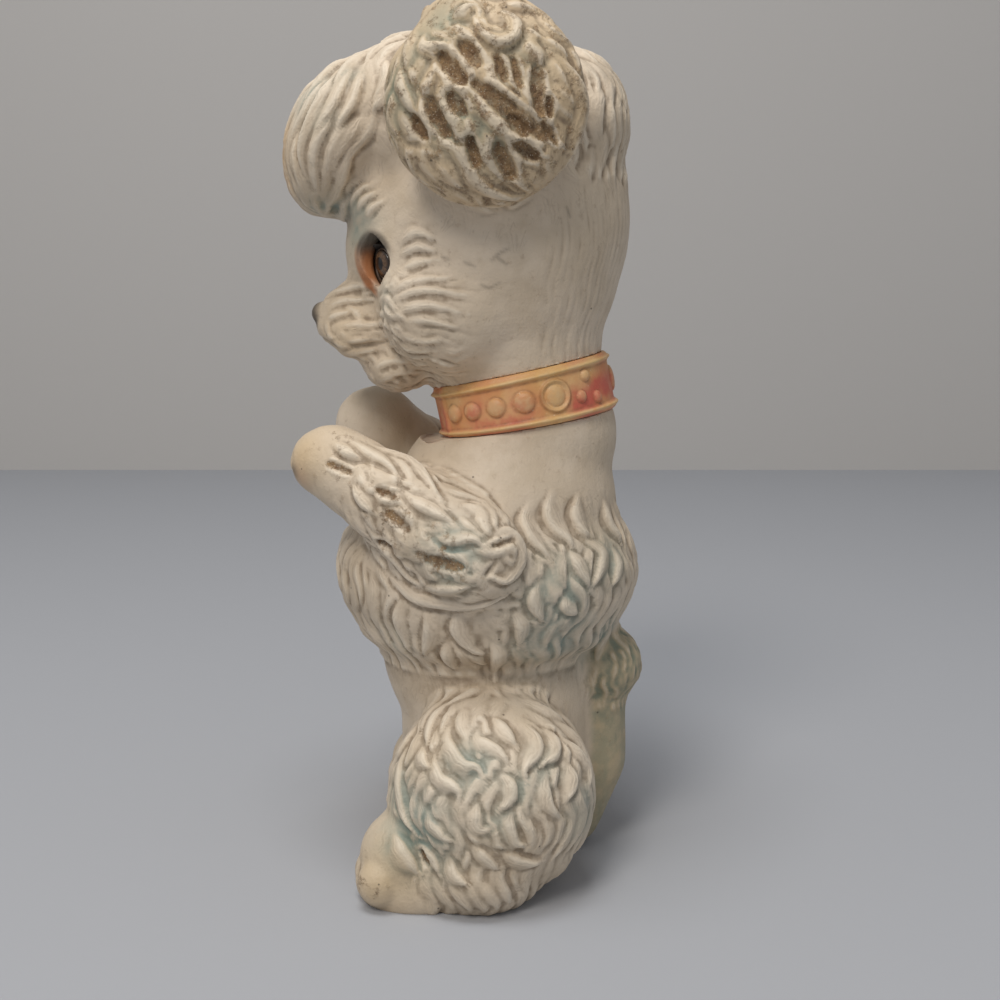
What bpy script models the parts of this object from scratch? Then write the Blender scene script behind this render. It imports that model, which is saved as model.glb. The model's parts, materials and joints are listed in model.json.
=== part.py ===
"""A hollow rubber squeak toy in the form of a poodle that sits up and begs.

Two slush-moulded rubber shells carry everything. The body shell has the legs, the tail and a neck
spigot, and the head shell plugs into that spigot and turns in it. A studded rubber collar covers the
joint. Each eye is a weighted sleep eye in a plastic case, and a metal squeaker with a free reed snaps
into the base. The toy faces -Y, its left side is at +X and it stands on z = 0. Lengths are in metres.
"""

import math

import bmesh
import bpy
from mathutils import Matrix, Vector

MM = 0.001

# Clearances and walls. SPARE is stock that a later cut takes off, PAST is how far a cutter runs out of
# what it cuts, CUT_RIM is how far a ring cutter reaches past the spigot, and BLOCK is wider than the toy
TOUCH = 0.3 * MM
SPARE = 2 * MM
PAST = 25 * MM
CUT_RIM = 10 * MM
BLOCK = 300 * MM
RUBBER_WALL = 2.6 * MM
WELD_DISTANCE = 0.03 * MM
CORE_VOXEL = 2.8 * MM
SKIN_VOXEL = 1.7 * MM
BODY_SKIN_TRIANGLES = 3900
HEAD_SKIN_TRIANGLES = 2800
BODY_CORE_TRIANGLES = 620
HEAD_CORE_TRIANGLES = 420

# Hind quarters: places are (side, back, up) from the middle of the base
LOIN_CENTRE = (0, -1 * MM, 40 * MM)
LOIN_SIZE = (62 * MM, 59 * MM, 118 * MM)
BELLY_CENTRE = (0, -10 * MM, 72 * MM)
BELLY_SIZE = (60 * MM, 54 * MM, 80 * MM)
HAUNCH_CENTRE = (33 * MM, -2.5 * MM, 29.5 * MM)
HAUNCH_SIZE = (54 * MM, 59 * MM, 60.5 * MM)
SKIRT_FROM_HAUNCH = (5 * MM, -4.5 * MM, -18.5 * MM)
SKIRT_SIZE = (42 * MM, 40 * MM, 29 * MM)
FOOT_FROM_HAUNCH = (7 * MM, -25.5 * MM, -17 * MM)
FOOT_SIZE = (25 * MM, 25 * MM, 26 * MM)
RIGHT_FOOT_SETBACK = 3 * MM
TOE_SPREAD = 8 * MM
TOE_SIZE = (10.5 * MM, 12 * MM, 13 * MM)
TOE_REACH = 1.2 * MM
SIDE_TOE_SETBACK = 1.6 * MM
TOE_DROP = 4.5 * MM

# Tail, which rises against the back
TAIL_ROOT = (0, 23 * MM, 9 * MM)
TAIL_BEND = (0, 31 * MM, 28 * MM)
TAIL_TIP = (0, 30.5 * MM, 48 * MM)
TAIL_THICKNESS = 17.5 * MM
TAIL_TUFT_FROM_TIP = (0, 1.5 * MM, 11.5 * MM)
TAIL_TUFT_SIZE = (25 * MM, 25 * MM, 23 * MM)

# Ruff and shoulders
RUFF_CENTRE = (0, -4 * MM, 91.5 * MM)
RUFF_SIZE = (88 * MM, 92 * MM, 62 * MM)
SHOULDER_TOP_RADIUS = 25.4 * MM
SHOULDER_TOP_DROP = 12 * MM
SHOULDER_FOOT = (0, 1.5 * MM, 108 * MM)
SHOULDER_FOOT_RADIUS = 34.5 * MM

# Forelegs: the left paw is held low and forward, the right one up beside the chin
ELBOW_LEFT = (38 * MM, -7.5 * MM, 101.5 * MM)
WRIST_LEFT = (30 * MM, -32 * MM, 116.5 * MM)
PAW_LEFT = (21 * MM, -49 * MM, 126 * MM)
ELBOW_RIGHT = (-38 * MM, -5 * MM, 103 * MM)
WRIST_RIGHT = (-36 * MM, -23 * MM, 120 * MM)
PAW_RIGHT = (-29 * MM, -40.5 * MM, 132 * MM)
SLEEVE_THICKNESS = 29.5 * MM
CUFF_THICKNESS = 25 * MM
PAW_SIZE = (21 * MM, 24 * MM, 20.5 * MM)
RIGHT_PAW_SIZE = (24 * MM, 27 * MM, 25 * MM)

# Fur: moulded locks about one spacing apart, in staggered rows over the clipped coat. RISE is how far a
# lock stands out, LEAN how far it leans to one side of straight down, and BARE_TOP how far a haunch or
# the ruff stays smooth from its top
LOCK_SPACING = 14 * MM
LOCK_SIZE = (9.5 * MM, 8 * MM, 18 * MM)
LOCK_RISE = 2.4 * MM
LOCK_LEAN = math.radians(24)
LOCK_FACETS = (10, 8)
BARE_TOP = math.radians(34)
INNER_SHARE = -0.3

# Neck joint: a turned spigot on the body, and a plug on the head that snaps under its lip
NECK_CENTRE = (0, 7.4 * MM, 144 * MM)
NECK_LEAN = math.radians(12)
SPIGOT_RADIUS = 24 * MM
SPIGOT_TOP = 3.5 * MM
SPIGOT_DEPTH = 14 * MM
SPIGOT_FLOOR = 1 * MM
HOLLOW_OVERLAP = 5 * MM
SPIGOT_LEDGE = 1.1 * MM
LIP_WIDTH = 2.2 * MM
LIP_HEIGHT = 2.6 * MM
PLUG_WALL = 2.6 * MM
BEAD_HEIGHT = 3.4 * MM
BEAD_FLAT = 0.4
PLUG_SHOULDER = 4 * MM
BORE_SHOULDER = 5.5 * MM
HEAD_FOOT_WALL = 3 * MM
HEAD_SWEEP = 20 * MM
HEAD_UNDERSIDE_RADIUS = 30.5 * MM
NECK_RADIUS = 22.6 * MM
NECK_FLARE_RISE = 16 * MM
NECK_FLARE_RADIUS = 27 * MM
COLLAR_HEAD_GAP = 0.5 * MM

# Collar: a wide band with a welt at both edges, taller at the nape, and moulded studs
COLLAR_HEIGHT = 15.5 * MM
COLLAR_WALL = 2.6 * MM
COLLAR_WELT = 1.1 * MM
WELT_HEIGHTS = (0.7 * MM, 1.9 * MM, 2.7 * MM)
COLLAR_NAPE_GROWTH = 0.13
STUD_HEIGHT = 1.3 * MM
STUD_SINK = 0.15 * MM
STUD_ANGLES_DEG = (38, 54, 71, 89, 109)
STUD_DIAMETERS = (5.6 * MM, 5.4 * MM, 5.6 * MM, 6.2 * MM, 8.4 * MM)
SMALL_STUD_DIAMETER = 3.4 * MM
SMALL_STUD_PLACES = ((127, -2.0 * MM), (133, 3.4 * MM), (141, -3.2 * MM))
NAPE_STUD_DIAMETER = 7.4 * MM
STRAP_END_ANGLE_DEG = 28
STRAP_END_WIDTH = 2.2 * MM
STRAP_END_DEPTH = 1.3 * MM
STRAP_END_SHARE = 0.72

# Head: places are from the neck centre
HEAD_RISE = (0, -7.4 * MM, 52 * MM)
CRANIUM_SIZE = (76 * MM, 77 * MM, 88 * MM)
NECK_TOP_FROM_HEAD = (0, 1.5 * MM, -13 * MM)
NECK_TOP_THICKNESS = 69 * MM
FACE_FROM_HEAD = (0, -18 * MM, -8 * MM)
FACE_SIZE = (54 * MM, 56 * MM, 48 * MM)
CHEEK_FROM_HEAD = (20 * MM, -12 * MM, -26 * MM)
CHEEK_SIZE = (35 * MM, 44 * MM, 40 * MM)
JAW_FROM_HEAD = (0, -18 * MM, -33 * MM)
JAW_SIZE = (40 * MM, 32 * MM, 24 * MM)
MUZZLE_FROM_HEAD = (0, -42.5 * MM, -30 * MM)
MUZZLE_SIZE = (25 * MM, 27 * MM, 22 * MM)
NOSE_FROM_MUZZLE = (0, -11.5 * MM, 3 * MM)
NOSE_SIZE = (9 * MM, 6 * MM, 7 * MM)
CHIN_FROM_HEAD = (0, -31 * MM, -43 * MM)
CHIN_SIZE = (26 * MM, 19 * MM, 14.5 * MM)
BROW_FROM_HEAD = (13 * MM, -36 * MM, 3 * MM)
BROW_SIZE = (18 * MM, 18 * MM, 14 * MM)
FORELOCK_FROM_HEAD = (0, -46 * MM, 26 * MM)
FORELOCK_SIZE = (56 * MM, 33 * MM, 51 * MM)
FORELOCK_LEAN = math.radians(-30)
CROWN_FROM_HEAD = (0, -10 * MM, 30 * MM)
CROWN_SIZE = (68 * MM, 80 * MM, 52 * MM)
NAPE_TUFT_FROM_HEAD = (0, 17 * MM, 28 * MM)
NAPE_TUFT_SIZE = (64 * MM, 40.5 * MM, 44 * MM)
EAR_FROM_HEAD = (46 * MM, -4 * MM, 28.5 * MM)
EAR_SIZE = (28 * MM, 52 * MM, 52 * MM)
EAR_TOP_FROM_EAR = (-5 * MM, -2 * MM, 20 * MM)
EAR_TOP_SIZE = (26 * MM, 31 * MM, 18 * MM)

# Sleep eyes: a ball on a cross pin, in a case that the rubber grips
EYE_FROM_HEAD = (15 * MM, -29.5 * MM, -12 * MM)
EYE_TURN = math.radians(35)
EYE_BALL_RADIUS = 6.8 * MM
EYE_RUNNING_GAP = 0.4 * MM
EYE_CASE_WALL = 1.0 * MM
EYE_OPENING_RADIUS = 6.0 * MM
EYE_CASE_BACK_ANGLE = math.radians(112)
EYE_POCKET_BACK_ANGLE = math.radians(95)
EYE_PIN_RADIUS = 0.8 * MM
EYE_PIN_SHORT = 0.1 * MM
EYE_POCKET_WALL = 1.9 * MM
EYE_THROAT_RADIUS = 6.2 * MM
EYE_ORBIT_PROFILE = ((9.4 * MM, 17 * MM), (8.6 * MM, 11 * MM), (7.2 * MM, 7.6 * MM))
EYE_ORBIT_STRETCH = 1.12
IRIS_RADIUS = 3.9 * MM
IRIS_DEPTH = 1.0 * MM
IRIS_DROOP = math.radians(6)
WEIGHT_ANGLE = math.radians(55)
WEIGHT_STEM_RADIUS = 1.0 * MM
WEIGHT_STEM_LENGTH = 2.4 * MM
WEIGHT_STEM_SEAT = 2.2 * MM
WEIGHT_RADIUS = 2.4 * MM
WEIGHT_LENGTH = 3.6 * MM
LASH_COUNT = 7
LASH_ANGLE = math.radians(44)
LASH_SPREAD = math.radians(50)
LASH_LIFT = math.radians(20)
LASH_LENGTH = 2.8 * MM
LASH_SEAT_DEPTH = 0.25 * MM
LASH_ROOT_RADIUS = 0.45 * MM
LASH_TIP_RADIUS = 0.2 * MM

# Squeaker: a spool-shaped can that snaps into the base, with a free reed on a slotted plate
SQUEAKER_PLACE = (0, -2 * MM, 0)
CAN_RECESS = 0.4 * MM
CAN_FLANGE_RADIUS = 11.2 * MM
CAN_FLANGE_THICKNESS = 1.2 * MM
CAN_GROOVE_RADIUS = 8.8 * MM
CAN_GROOVE_HEIGHT = 3.6 * MM
CAN_BEAD_RADIUS = 10.2 * MM
CAN_BEAD_HEIGHT = 1.0 * MM
CAN_TOP_RADIUS = 9.2 * MM
CAN_TOP_HEIGHT = 4.8 * MM
CAN_BORE_RADIUS = 8.0 * MM
CAN_SHELF_RADIUS = 6.8 * MM
VENT_RADIUS = 1.6 * MM
CAN_FLOOR = 0.8 * MM
SEAT_RADIUS = 14 * MM
CAN_CHAMBER = 3.6 * MM
PLATE_THICKNESS = 0.8 * MM
REED_WIDTH = 2.2 * MM
REED_LENGTH = 9.6 * MM
REED_THICKNESS = 0.25 * MM
REED_ROOT = 1.6 * MM
REED_SIDE_GAP = 0.35 * MM
CLAMP_THICKNESS = 1.1 * MM
CLAMP_FOOT = 1.4 * MM
CAP_WALL = 0.6 * MM
CAP_SKIRT = 2.4 * MM
CAP_HOLE_RADIUS = 2.5 * MM

# Places and fits that follow from the sizes above
NECK_AXIS = Vector((0, -math.sin(NECK_LEAN), math.cos(NECK_LEAN)))
HEAD_CENTRE = Vector(NECK_CENTRE) + Vector(HEAD_RISE)
SPIGOT_BORE_RADIUS = SPIGOT_RADIUS - RUBBER_WALL
PLUG_RADIUS = SPIGOT_BORE_RADIUS - LIP_WIDTH - TOUCH
BEAD_RADIUS = SPIGOT_BORE_RADIUS - TOUCH
BEAD_TOP = SPIGOT_TOP - LIP_HEIGHT - TOUCH
EYE_CASE_RADIUS = EYE_BALL_RADIUS + EYE_RUNNING_GAP + EYE_CASE_WALL

# Finishes, as linear colour, metallic and roughness
FINISHES = {
    "rubber": ((0.50, 0.42, 0.32), 0.0, 0.6),
    "collar_rubber": ((0.62, 0.30, 0.13), 0.0, 0.55),
    "case_plastic": ((0.16, 0.10, 0.07), 0.0, 0.4),
    "eye_plastic": ((0.15, 0.11, 0.09), 0.0, 0.3),
    "iris_plastic": ((0.10, 0.035, 0.01), 0.0, 0.12),
    "lash_fibre": ((0.01, 0.008, 0.006), 0.0, 0.7),
    "steel": ((0.52, 0.50, 0.46), 1.0, 0.35),
    "lead": ((0.22, 0.22, 0.23), 1.0, 0.55),
    "brass": ((0.66, 0.46, 0.18), 1.0, 0.3),
}


def add(place, offset, side=1):
    """A place moved by an offset, whose sideways part is mirrored for the right side."""
    return Vector(place) + Vector((offset[0] * side, offset[1], offset[2]))


def clear_scene():
    for obj in list(bpy.data.objects):
        bpy.data.objects.remove(obj)


def new_collection(name):
    collection = bpy.data.collections.new(name)
    bpy.context.scene.collection.children.link(collection)
    return collection


def finish_material(name):
    found = bpy.data.materials.get(name)
    if found:
        return found
    colour, metallic, roughness = FINISHES[name]
    material = bpy.data.materials.new(name)
    material.use_nodes = True
    shader = material.node_tree.nodes["Principled BSDF"]
    shader.inputs["Base Color"].default_value = (*colour, 1)
    shader.inputs["Metallic"].default_value = metallic
    shader.inputs["Roughness"].default_value = roughness
    return material


def show(name, mesh, parent=None, finish=None):
    """Adds a mesh to the toy, or to the cutters if it has no finish."""
    obj = bpy.data.objects.new(name, mesh)
    if finish:
        TOY.objects.link(obj)
        mesh.materials.append(finish_material(finish))
    else:
        CUTTERS.objects.link(obj)
        obj.hide_render = True
        obj.display_type = "WIRE"
    obj.parent = parent
    return obj


def new_empty(name, parent=None, place=(0, 0, 0), turn=(0, 0, 0)):
    empty = bpy.data.objects.new(name, None)
    TOY.objects.link(empty)
    empty.parent = parent
    empty.location = place
    empty.rotation_euler = turn
    return empty


def mesh_of(bm, name):
    bmesh.ops.recalc_face_normals(bm, faces=bm.faces)
    mesh = bpy.data.meshes.new(name)
    bm.to_mesh(mesh)
    bm.free()
    return mesh


def settled_mesh(obj):
    """The object's mesh with its modifiers applied."""
    graph = bpy.context.evaluated_depsgraph_get()
    graph.update()
    return bpy.data.meshes.new_from_object(obj.evaluated_get(graph))


# Moulded forms: rounded lumps and tapered limbs that a Remesh modifier fuses into one skin


def add_ball(bm, place, facets):
    """Copies in a ball that is made by itself, which is much quicker than making it among the others."""
    alone = bmesh.new()
    bmesh.ops.create_uvsphere(alone, u_segments=facets[0], v_segments=facets[1], radius=1)
    ball = mesh_of(alone, "ball")
    ball.transform(place)
    bm.from_mesh(ball)
    bpy.data.meshes.remove(ball)


class Clay:
    """A list of rounded forms. The skin is made from them, and the hollow from the same forms, shrunk."""

    def __init__(self):
        self.lumps = []
        self.limbs = []

    def lump(self, centre, size, turn=Matrix.Identity(4), facets=(24, 18)):
        self.lumps.append((Vector(centre), Vector(size) / 2, turn, facets))

    def limb(self, start, end, start_radius, end_radius):
        self.limbs.append((Vector(start), Vector(end), start_radius, end_radius))

    def mesh(self, name, shrink=0.0):
        bm = bmesh.new()
        for start, end, start_radius, end_radius in self.limbs:
            along = end - start
            turn = along.to_track_quat("Z", "Y").to_matrix().to_4x4()
            radii = (start_radius - shrink, end_radius - shrink)
            bmesh.ops.create_cone(
                bm, cap_ends=True, segments=24, radius1=radii[0], radius2=radii[1], depth=along.length,
                matrix=Matrix.Translation((start + end) / 2) @ turn,
            )
            for place, radius in ((start, radii[0]), (end, radii[1])):
                add_ball(bm, Matrix.Translation(place) @ Matrix.Scale(radius, 4), (20, 12))
        for centre, radii, turn, facets in self.lumps:
            inner = [max(r - shrink, 0.5 * MM) for r in radii]
            add_ball(bm, Matrix.Translation(centre) @ turn @ Matrix.Diagonal((*inner, 1)), facets)
        return mesh_of(bm, name)


def add_lock(clay, point, normal, lean):
    """One moulded lock of fur, sunk into the form so that only its rise shows."""
    turn = normal.to_track_quat("Y", "Z").to_matrix().to_4x4() @ Matrix.Rotation(lean, 4, "Y")
    clay.lump(point + normal * (LOCK_RISE - LOCK_SIZE[1] / 2), LOCK_SIZE, turn, LOCK_FACETS)


def add_coat(clay, centre, size, side=0, bare=0.0, turn=Matrix.Identity(4)):
    """Rows of locks round a rounded form, leaning left and right in turn.

    With a side of 1 or -1, the locks that would face the other half of the toy are left out.
    """
    radii = Vector(size) / 2
    rows = round(math.pi * radii.z / LOCK_SPACING)
    for row in range(1, rows):
        fall = math.pi * row / rows
        around = round(math.pi * (radii.x + radii.y) * math.sin(fall) / LOCK_SPACING)
        for step in range(around):
            angle = math.tau * (step + row % 2 / 2) / around
            out = Vector((math.cos(angle) * math.sin(fall), math.sin(angle) * math.sin(fall), math.cos(fall)))
            if fall < bare or out.x * side < INNER_SHARE:
                continue
            point = Vector(centre) + turn @ Vector([out[i] * radii[i] for i in range(3)])
            normal = turn @ Vector([out[i] / radii[i] for i in range(3)]).normalized()
            add_lock(clay, point, normal, LOCK_LEAN * (1 if row % 2 else -1))


def add_sleeve(clay, start, end, start_radius, end_radius):
    """Rings of locks along a foreleg."""
    start, end = Vector(start), Vector(end)
    turn = (end - start).to_track_quat("Z", "Y").to_matrix()
    rings = round((end - start).length / LOCK_SPACING) + 1
    for ring in range(rings):
        along = ring / (rings - 1)
        radius = start_radius + (end_radius - start_radius) * along
        around = round(math.tau * radius / LOCK_SPACING)
        for step in range(around):
            angle = math.tau * (step + ring % 2 / 2) / around
            normal = turn @ Vector((math.cos(angle), math.sin(angle), 0))
            add_lock(clay, start.lerp(end, along) + normal * radius, normal, LOCK_LEAN * (1 if ring % 2 else -1))


def remesh(obj, voxel, rounds, factor=0.5):
    modifier = obj.modifiers.new("fuse", "REMESH")
    modifier.mode = "VOXEL"
    modifier.voxel_size = voxel
    modifier.use_smooth_shade = True
    smooth = obj.modifiers.new("soften", "SMOOTH")
    smooth.factor = factor
    smooth.iterations = rounds


def thin_out(obj, triangles):
    """Decimates the fused skin to about this many triangles."""
    mesh = settled_mesh(obj)
    mesh.calc_loop_triangles()
    count = len(mesh.loop_triangles)
    bpy.data.meshes.remove(mesh)
    decimate = obj.modifiers.new("thin_out", "DECIMATE")
    decimate.ratio = min(1.0, triangles / count)
    decimate.use_collapse_triangulate = True


def boolean(obj, other, operation="DIFFERENCE"):
    modifier = obj.modifiers.new(f"{operation.lower()}_{other.name}", "BOOLEAN")
    modifier.operation = operation
    modifier.object = other
    return obj


def weld(obj):
    """Joins the corners that a cut has left closer together than the eye can see."""
    modifier = obj.modifiers.new("weld", "WELD")
    modifier.merge_threshold = WELD_DISTANCE


# Turned forms: a profile of (radius, height) points, closed and turned about the local Z axis


def turned_mesh(name, profile, steps):
    """The profile runs down the outer side first, and its ends on the axis close by themselves."""
    bm = bmesh.new()
    points = [bm.verts.new((radius, 0, height)) for radius, height in profile]
    for first, second in zip(points, points[1:]):
        bm.edges.new((first, second))
    if profile[0][0] > 0:
        bm.edges.new((points[-1], points[0]))
    mesh = bpy.data.meshes.new(name)
    bm.to_mesh(mesh)
    bm.free()
    obj = bpy.data.objects.new(name + "_profile", mesh)
    CUTTERS.objects.link(obj)
    screw = obj.modifiers.new("turn", "SCREW")
    screw.steps = steps
    screw.render_steps = steps
    screw.use_merge_vertices = True
    screw.merge_threshold = 0.01 * MM
    made = settled_mesh(obj)
    made.name = name
    bpy.data.objects.remove(obj)
    bm = bmesh.new()
    bm.from_mesh(made)
    bmesh.ops.remove_doubles(bm, verts=bm.verts, dist=0.01 * MM)
    bmesh.ops.recalc_face_normals(bm, faces=bm.faces)
    bm.to_mesh(made)
    bm.free()
    return made


def box_mesh(name, size, centre=(0, 0, 0)):
    bm = bmesh.new()
    place = Matrix.Translation(centre) @ Matrix.Diagonal((*size, 1))
    bmesh.ops.create_cube(bm, size=1, matrix=place)
    return mesh_of(bm, name)


def rod_mesh(name, radius, length, axis="Z", segments=16, centre=(0, 0, 0)):
    bm = bmesh.new()
    turn = Matrix.Rotation(math.pi / 2, 4, "Y") if axis == "X" else Matrix.Identity(4)
    bmesh.ops.create_cone(bm, cap_ends=True, segments=segments, radius1=radius, radius2=radius, depth=length,
                          matrix=Matrix.Translation(centre) @ turn)
    return mesh_of(bm, name)


def smooth_shade(obj, angle_deg=35):
    obj.data.shade_smooth()
    obj.data.set_sharp_from_angle(angle=math.radians(angle_deg))
    return obj


# Body shell


def foot_place(side):
    foot = add(add((0, 0, 0), HAUNCH_CENTRE, side), FOOT_FROM_HAUNCH, side)
    return foot if side > 0 else foot + Vector((0, RIGHT_FOOT_SETBACK, 0))


def body_clay():
    clay = Clay()
    clay.lump(LOIN_CENTRE, LOIN_SIZE)
    clay.lump(BELLY_CENTRE, BELLY_SIZE)
    clay.lump(RUFF_CENTRE, RUFF_SIZE)
    neck_foot = Vector(NECK_CENTRE) - NECK_AXIS * SHOULDER_TOP_DROP
    clay.limb(neck_foot, SHOULDER_FOOT, SHOULDER_TOP_RADIUS, SHOULDER_FOOT_RADIUS)
    for side in (1, -1):
        haunch = add((0, 0, 0), HAUNCH_CENTRE, side)
        clay.lump(haunch, HAUNCH_SIZE)
        clay.lump(add(haunch, SKIRT_FROM_HAUNCH, side), SKIRT_SIZE)
        clay.lump(foot_place(side), FOOT_SIZE)
    for elbow, wrist, paw, size in (
        (ELBOW_LEFT, WRIST_LEFT, PAW_LEFT, PAW_SIZE),
        (ELBOW_RIGHT, WRIST_RIGHT, PAW_RIGHT, RIGHT_PAW_SIZE),
    ):
        clay.limb(elbow, wrist, SLEEVE_THICKNESS / 2, CUFF_THICKNESS / 2)
        clay.limb(wrist, paw, CUFF_THICKNESS / 2, PAW_SIZE[0] / 2)
        clay.lump(paw, size)
    clay.limb(TAIL_ROOT, TAIL_BEND, TAIL_THICKNESS / 2, TAIL_THICKNESS / 2)
    clay.limb(TAIL_BEND, TAIL_TIP, TAIL_THICKNESS / 2, TAIL_THICKNESS / 2)
    clay.lump(add(TAIL_TIP, TAIL_TUFT_FROM_TIP), TAIL_TUFT_SIZE)
    return clay


def add_toes(clay):
    """Three toes on each foot. They stay solid, so the hollow leaves them out."""
    for side in (1, -1):
        foot = foot_place(side)
        for toe in (-1, 0, 1):
            reach = (FOOT_SIZE[1] - TOE_SIZE[1]) / 2 + TOE_REACH - SIDE_TOE_SETBACK * abs(toe)
            clay.lump(foot + Vector((toe * TOE_SPREAD, -reach, -TOE_DROP)), TOE_SIZE)


def add_body_coat(clay):
    """Fur on the haunches, the ruff, the sleeves and the end of the tail. It stays solid too."""
    add_coat(clay, RUFF_CENTRE, RUFF_SIZE, bare=BARE_TOP)
    add_coat(clay, add(TAIL_TIP, TAIL_TUFT_FROM_TIP), TAIL_TUFT_SIZE)
    for side in (1, -1):
        haunch = add((0, 0, 0), HAUNCH_CENTRE, side)
        add_coat(clay, haunch, HAUNCH_SIZE, side)
    for elbow, wrist in ((ELBOW_LEFT, WRIST_LEFT), (ELBOW_RIGHT, WRIST_RIGHT)):
        add_sleeve(clay, elbow, wrist, SLEEVE_THICKNESS / 2, CUFF_THICKNESS / 2)


def nape_growth(mesh):
    """Makes a ring about the neck axis taller at the nape than at the throat."""
    for vertex in mesh.vertices:
        radius = math.hypot(vertex.co.x, vertex.co.y)
        vertex.co.z *= 1 + COLLAR_NAPE_GROWTH * vertex.co.y / radius


def cut_neck_joint(body):
    """Turns the top of the body into a spigot with a ledge for the collar and an inward lip."""
    stock_top = SPIGOT_TOP + SPARE
    stock = rod_mesh("spigot_stock", SPIGOT_RADIUS + SPIGOT_LEDGE, stock_top + SPIGOT_DEPTH, segments=36,
                     centre=(0, 0, (stock_top - SPIGOT_DEPTH) / 2))
    boolean(body, show("spigot_stock", stock, NECK), "UNION")
    ledge = turned_mesh("collar_ledge", [
        (SPIGOT_RADIUS + CUT_RIM, PAST),
        (SPIGOT_RADIUS + CUT_RIM, -COLLAR_HEIGHT / 2 - TOUCH),
        (SPIGOT_RADIUS, -COLLAR_HEIGHT / 2 - TOUCH),
        (SPIGOT_RADIUS, PAST),
    ], 36)
    nape_growth(ledge)
    boolean(body, show("collar_ledge", ledge, NECK))
    top = rod_mesh("spigot_top", SPIGOT_RADIUS + CUT_RIM, PAST, segments=36,
                   centre=(0, 0, SPIGOT_TOP + PAST / 2))
    boolean(body, show("spigot_top", top, NECK))


def make_body_shell():
    skin = body_clay()
    add_toes(skin)
    add_body_coat(skin)
    body = show("body_shell", skin.mesh("body_shell"), ROOT, "rubber")
    remesh(body, SKIN_VOXEL, 6)
    thin_out(body, BODY_SKIN_TRIANGLES)
    hollow = show("body_hollow", body_clay().mesh("body_hollow", RUBBER_WALL), ROOT)
    remesh(hollow, CORE_VOXEL, 3)
    thin_out(hollow, BODY_CORE_TRIANGLES)
    seat_top = CAN_RECESS + CAN_FLANGE_THICKNESS + CAN_GROOVE_HEIGHT - TOUCH
    below = box_mesh("hollow_floor", (BLOCK, BLOCK, BLOCK), (0, 0, RUBBER_WALL - BLOCK / 2))
    boolean(hollow, show("hollow_floor", below, ROOT))
    seat = rod_mesh("squeaker_seat", SEAT_RADIUS, seat_top * 2, segments=24, centre=SQUEAKER_PLACE)
    boolean(hollow, show("squeaker_seat", seat, ROOT))
    bore_floor = SPIGOT_FLOOR - SPIGOT_DEPTH
    above = box_mesh("hollow_top", (BLOCK, BLOCK, BLOCK), (0, 0, bore_floor + HOLLOW_OVERLAP + BLOCK / 2))
    boolean(hollow, show("hollow_top", above, NECK))
    boolean(body, show("floor_cut", box_mesh("floor_cut", (BLOCK, BLOCK, BLOCK), (0, 0, -BLOCK / 2)), ROOT))
    cut_neck_joint(body)
    boolean(body, hollow)
    bore = turned_mesh("spigot_bore", [
        (SPIGOT_BORE_RADIUS - LIP_WIDTH, SPIGOT_TOP + PAST),
        (SPIGOT_BORE_RADIUS - LIP_WIDTH, SPIGOT_TOP - LIP_HEIGHT),
        (SPIGOT_BORE_RADIUS, SPIGOT_TOP - LIP_HEIGHT),
        (SPIGOT_BORE_RADIUS, bore_floor),
        (0, bore_floor),
        (0, SPIGOT_TOP + PAST),
    ], 36)
    boolean(body, show("spigot_bore", bore, NECK))
    weld(body)
    seat_bore = turned_mesh("seat_bore", [
        (CAN_GROOVE_RADIUS + TOUCH, seat_top + SPARE),
        (CAN_GROOVE_RADIUS + TOUCH, CAN_RECESS + CAN_FLANGE_THICKNESS + TOUCH),
        (CAN_FLANGE_RADIUS + TOUCH, CAN_RECESS + CAN_FLANGE_THICKNESS + TOUCH),
        (CAN_FLANGE_RADIUS + TOUCH, -PAST),
        (0, -PAST),
        (0, seat_top + SPARE),
    ], 24)
    seat_cut = show("seat_bore", seat_bore, ROOT)
    seat_cut.location = SQUEAKER_PLACE
    boolean(body, seat_cut)
    return body


# Collar


def ring_place(angle_deg, radius, height):
    """A place on the collar, with the angle taken from the throat toward the left side."""
    angle = math.radians(angle_deg)
    grown = height * (1 - COLLAR_NAPE_GROWTH * math.cos(angle))
    return Vector((radius * math.sin(angle), -radius * math.cos(angle), grown))


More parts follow.
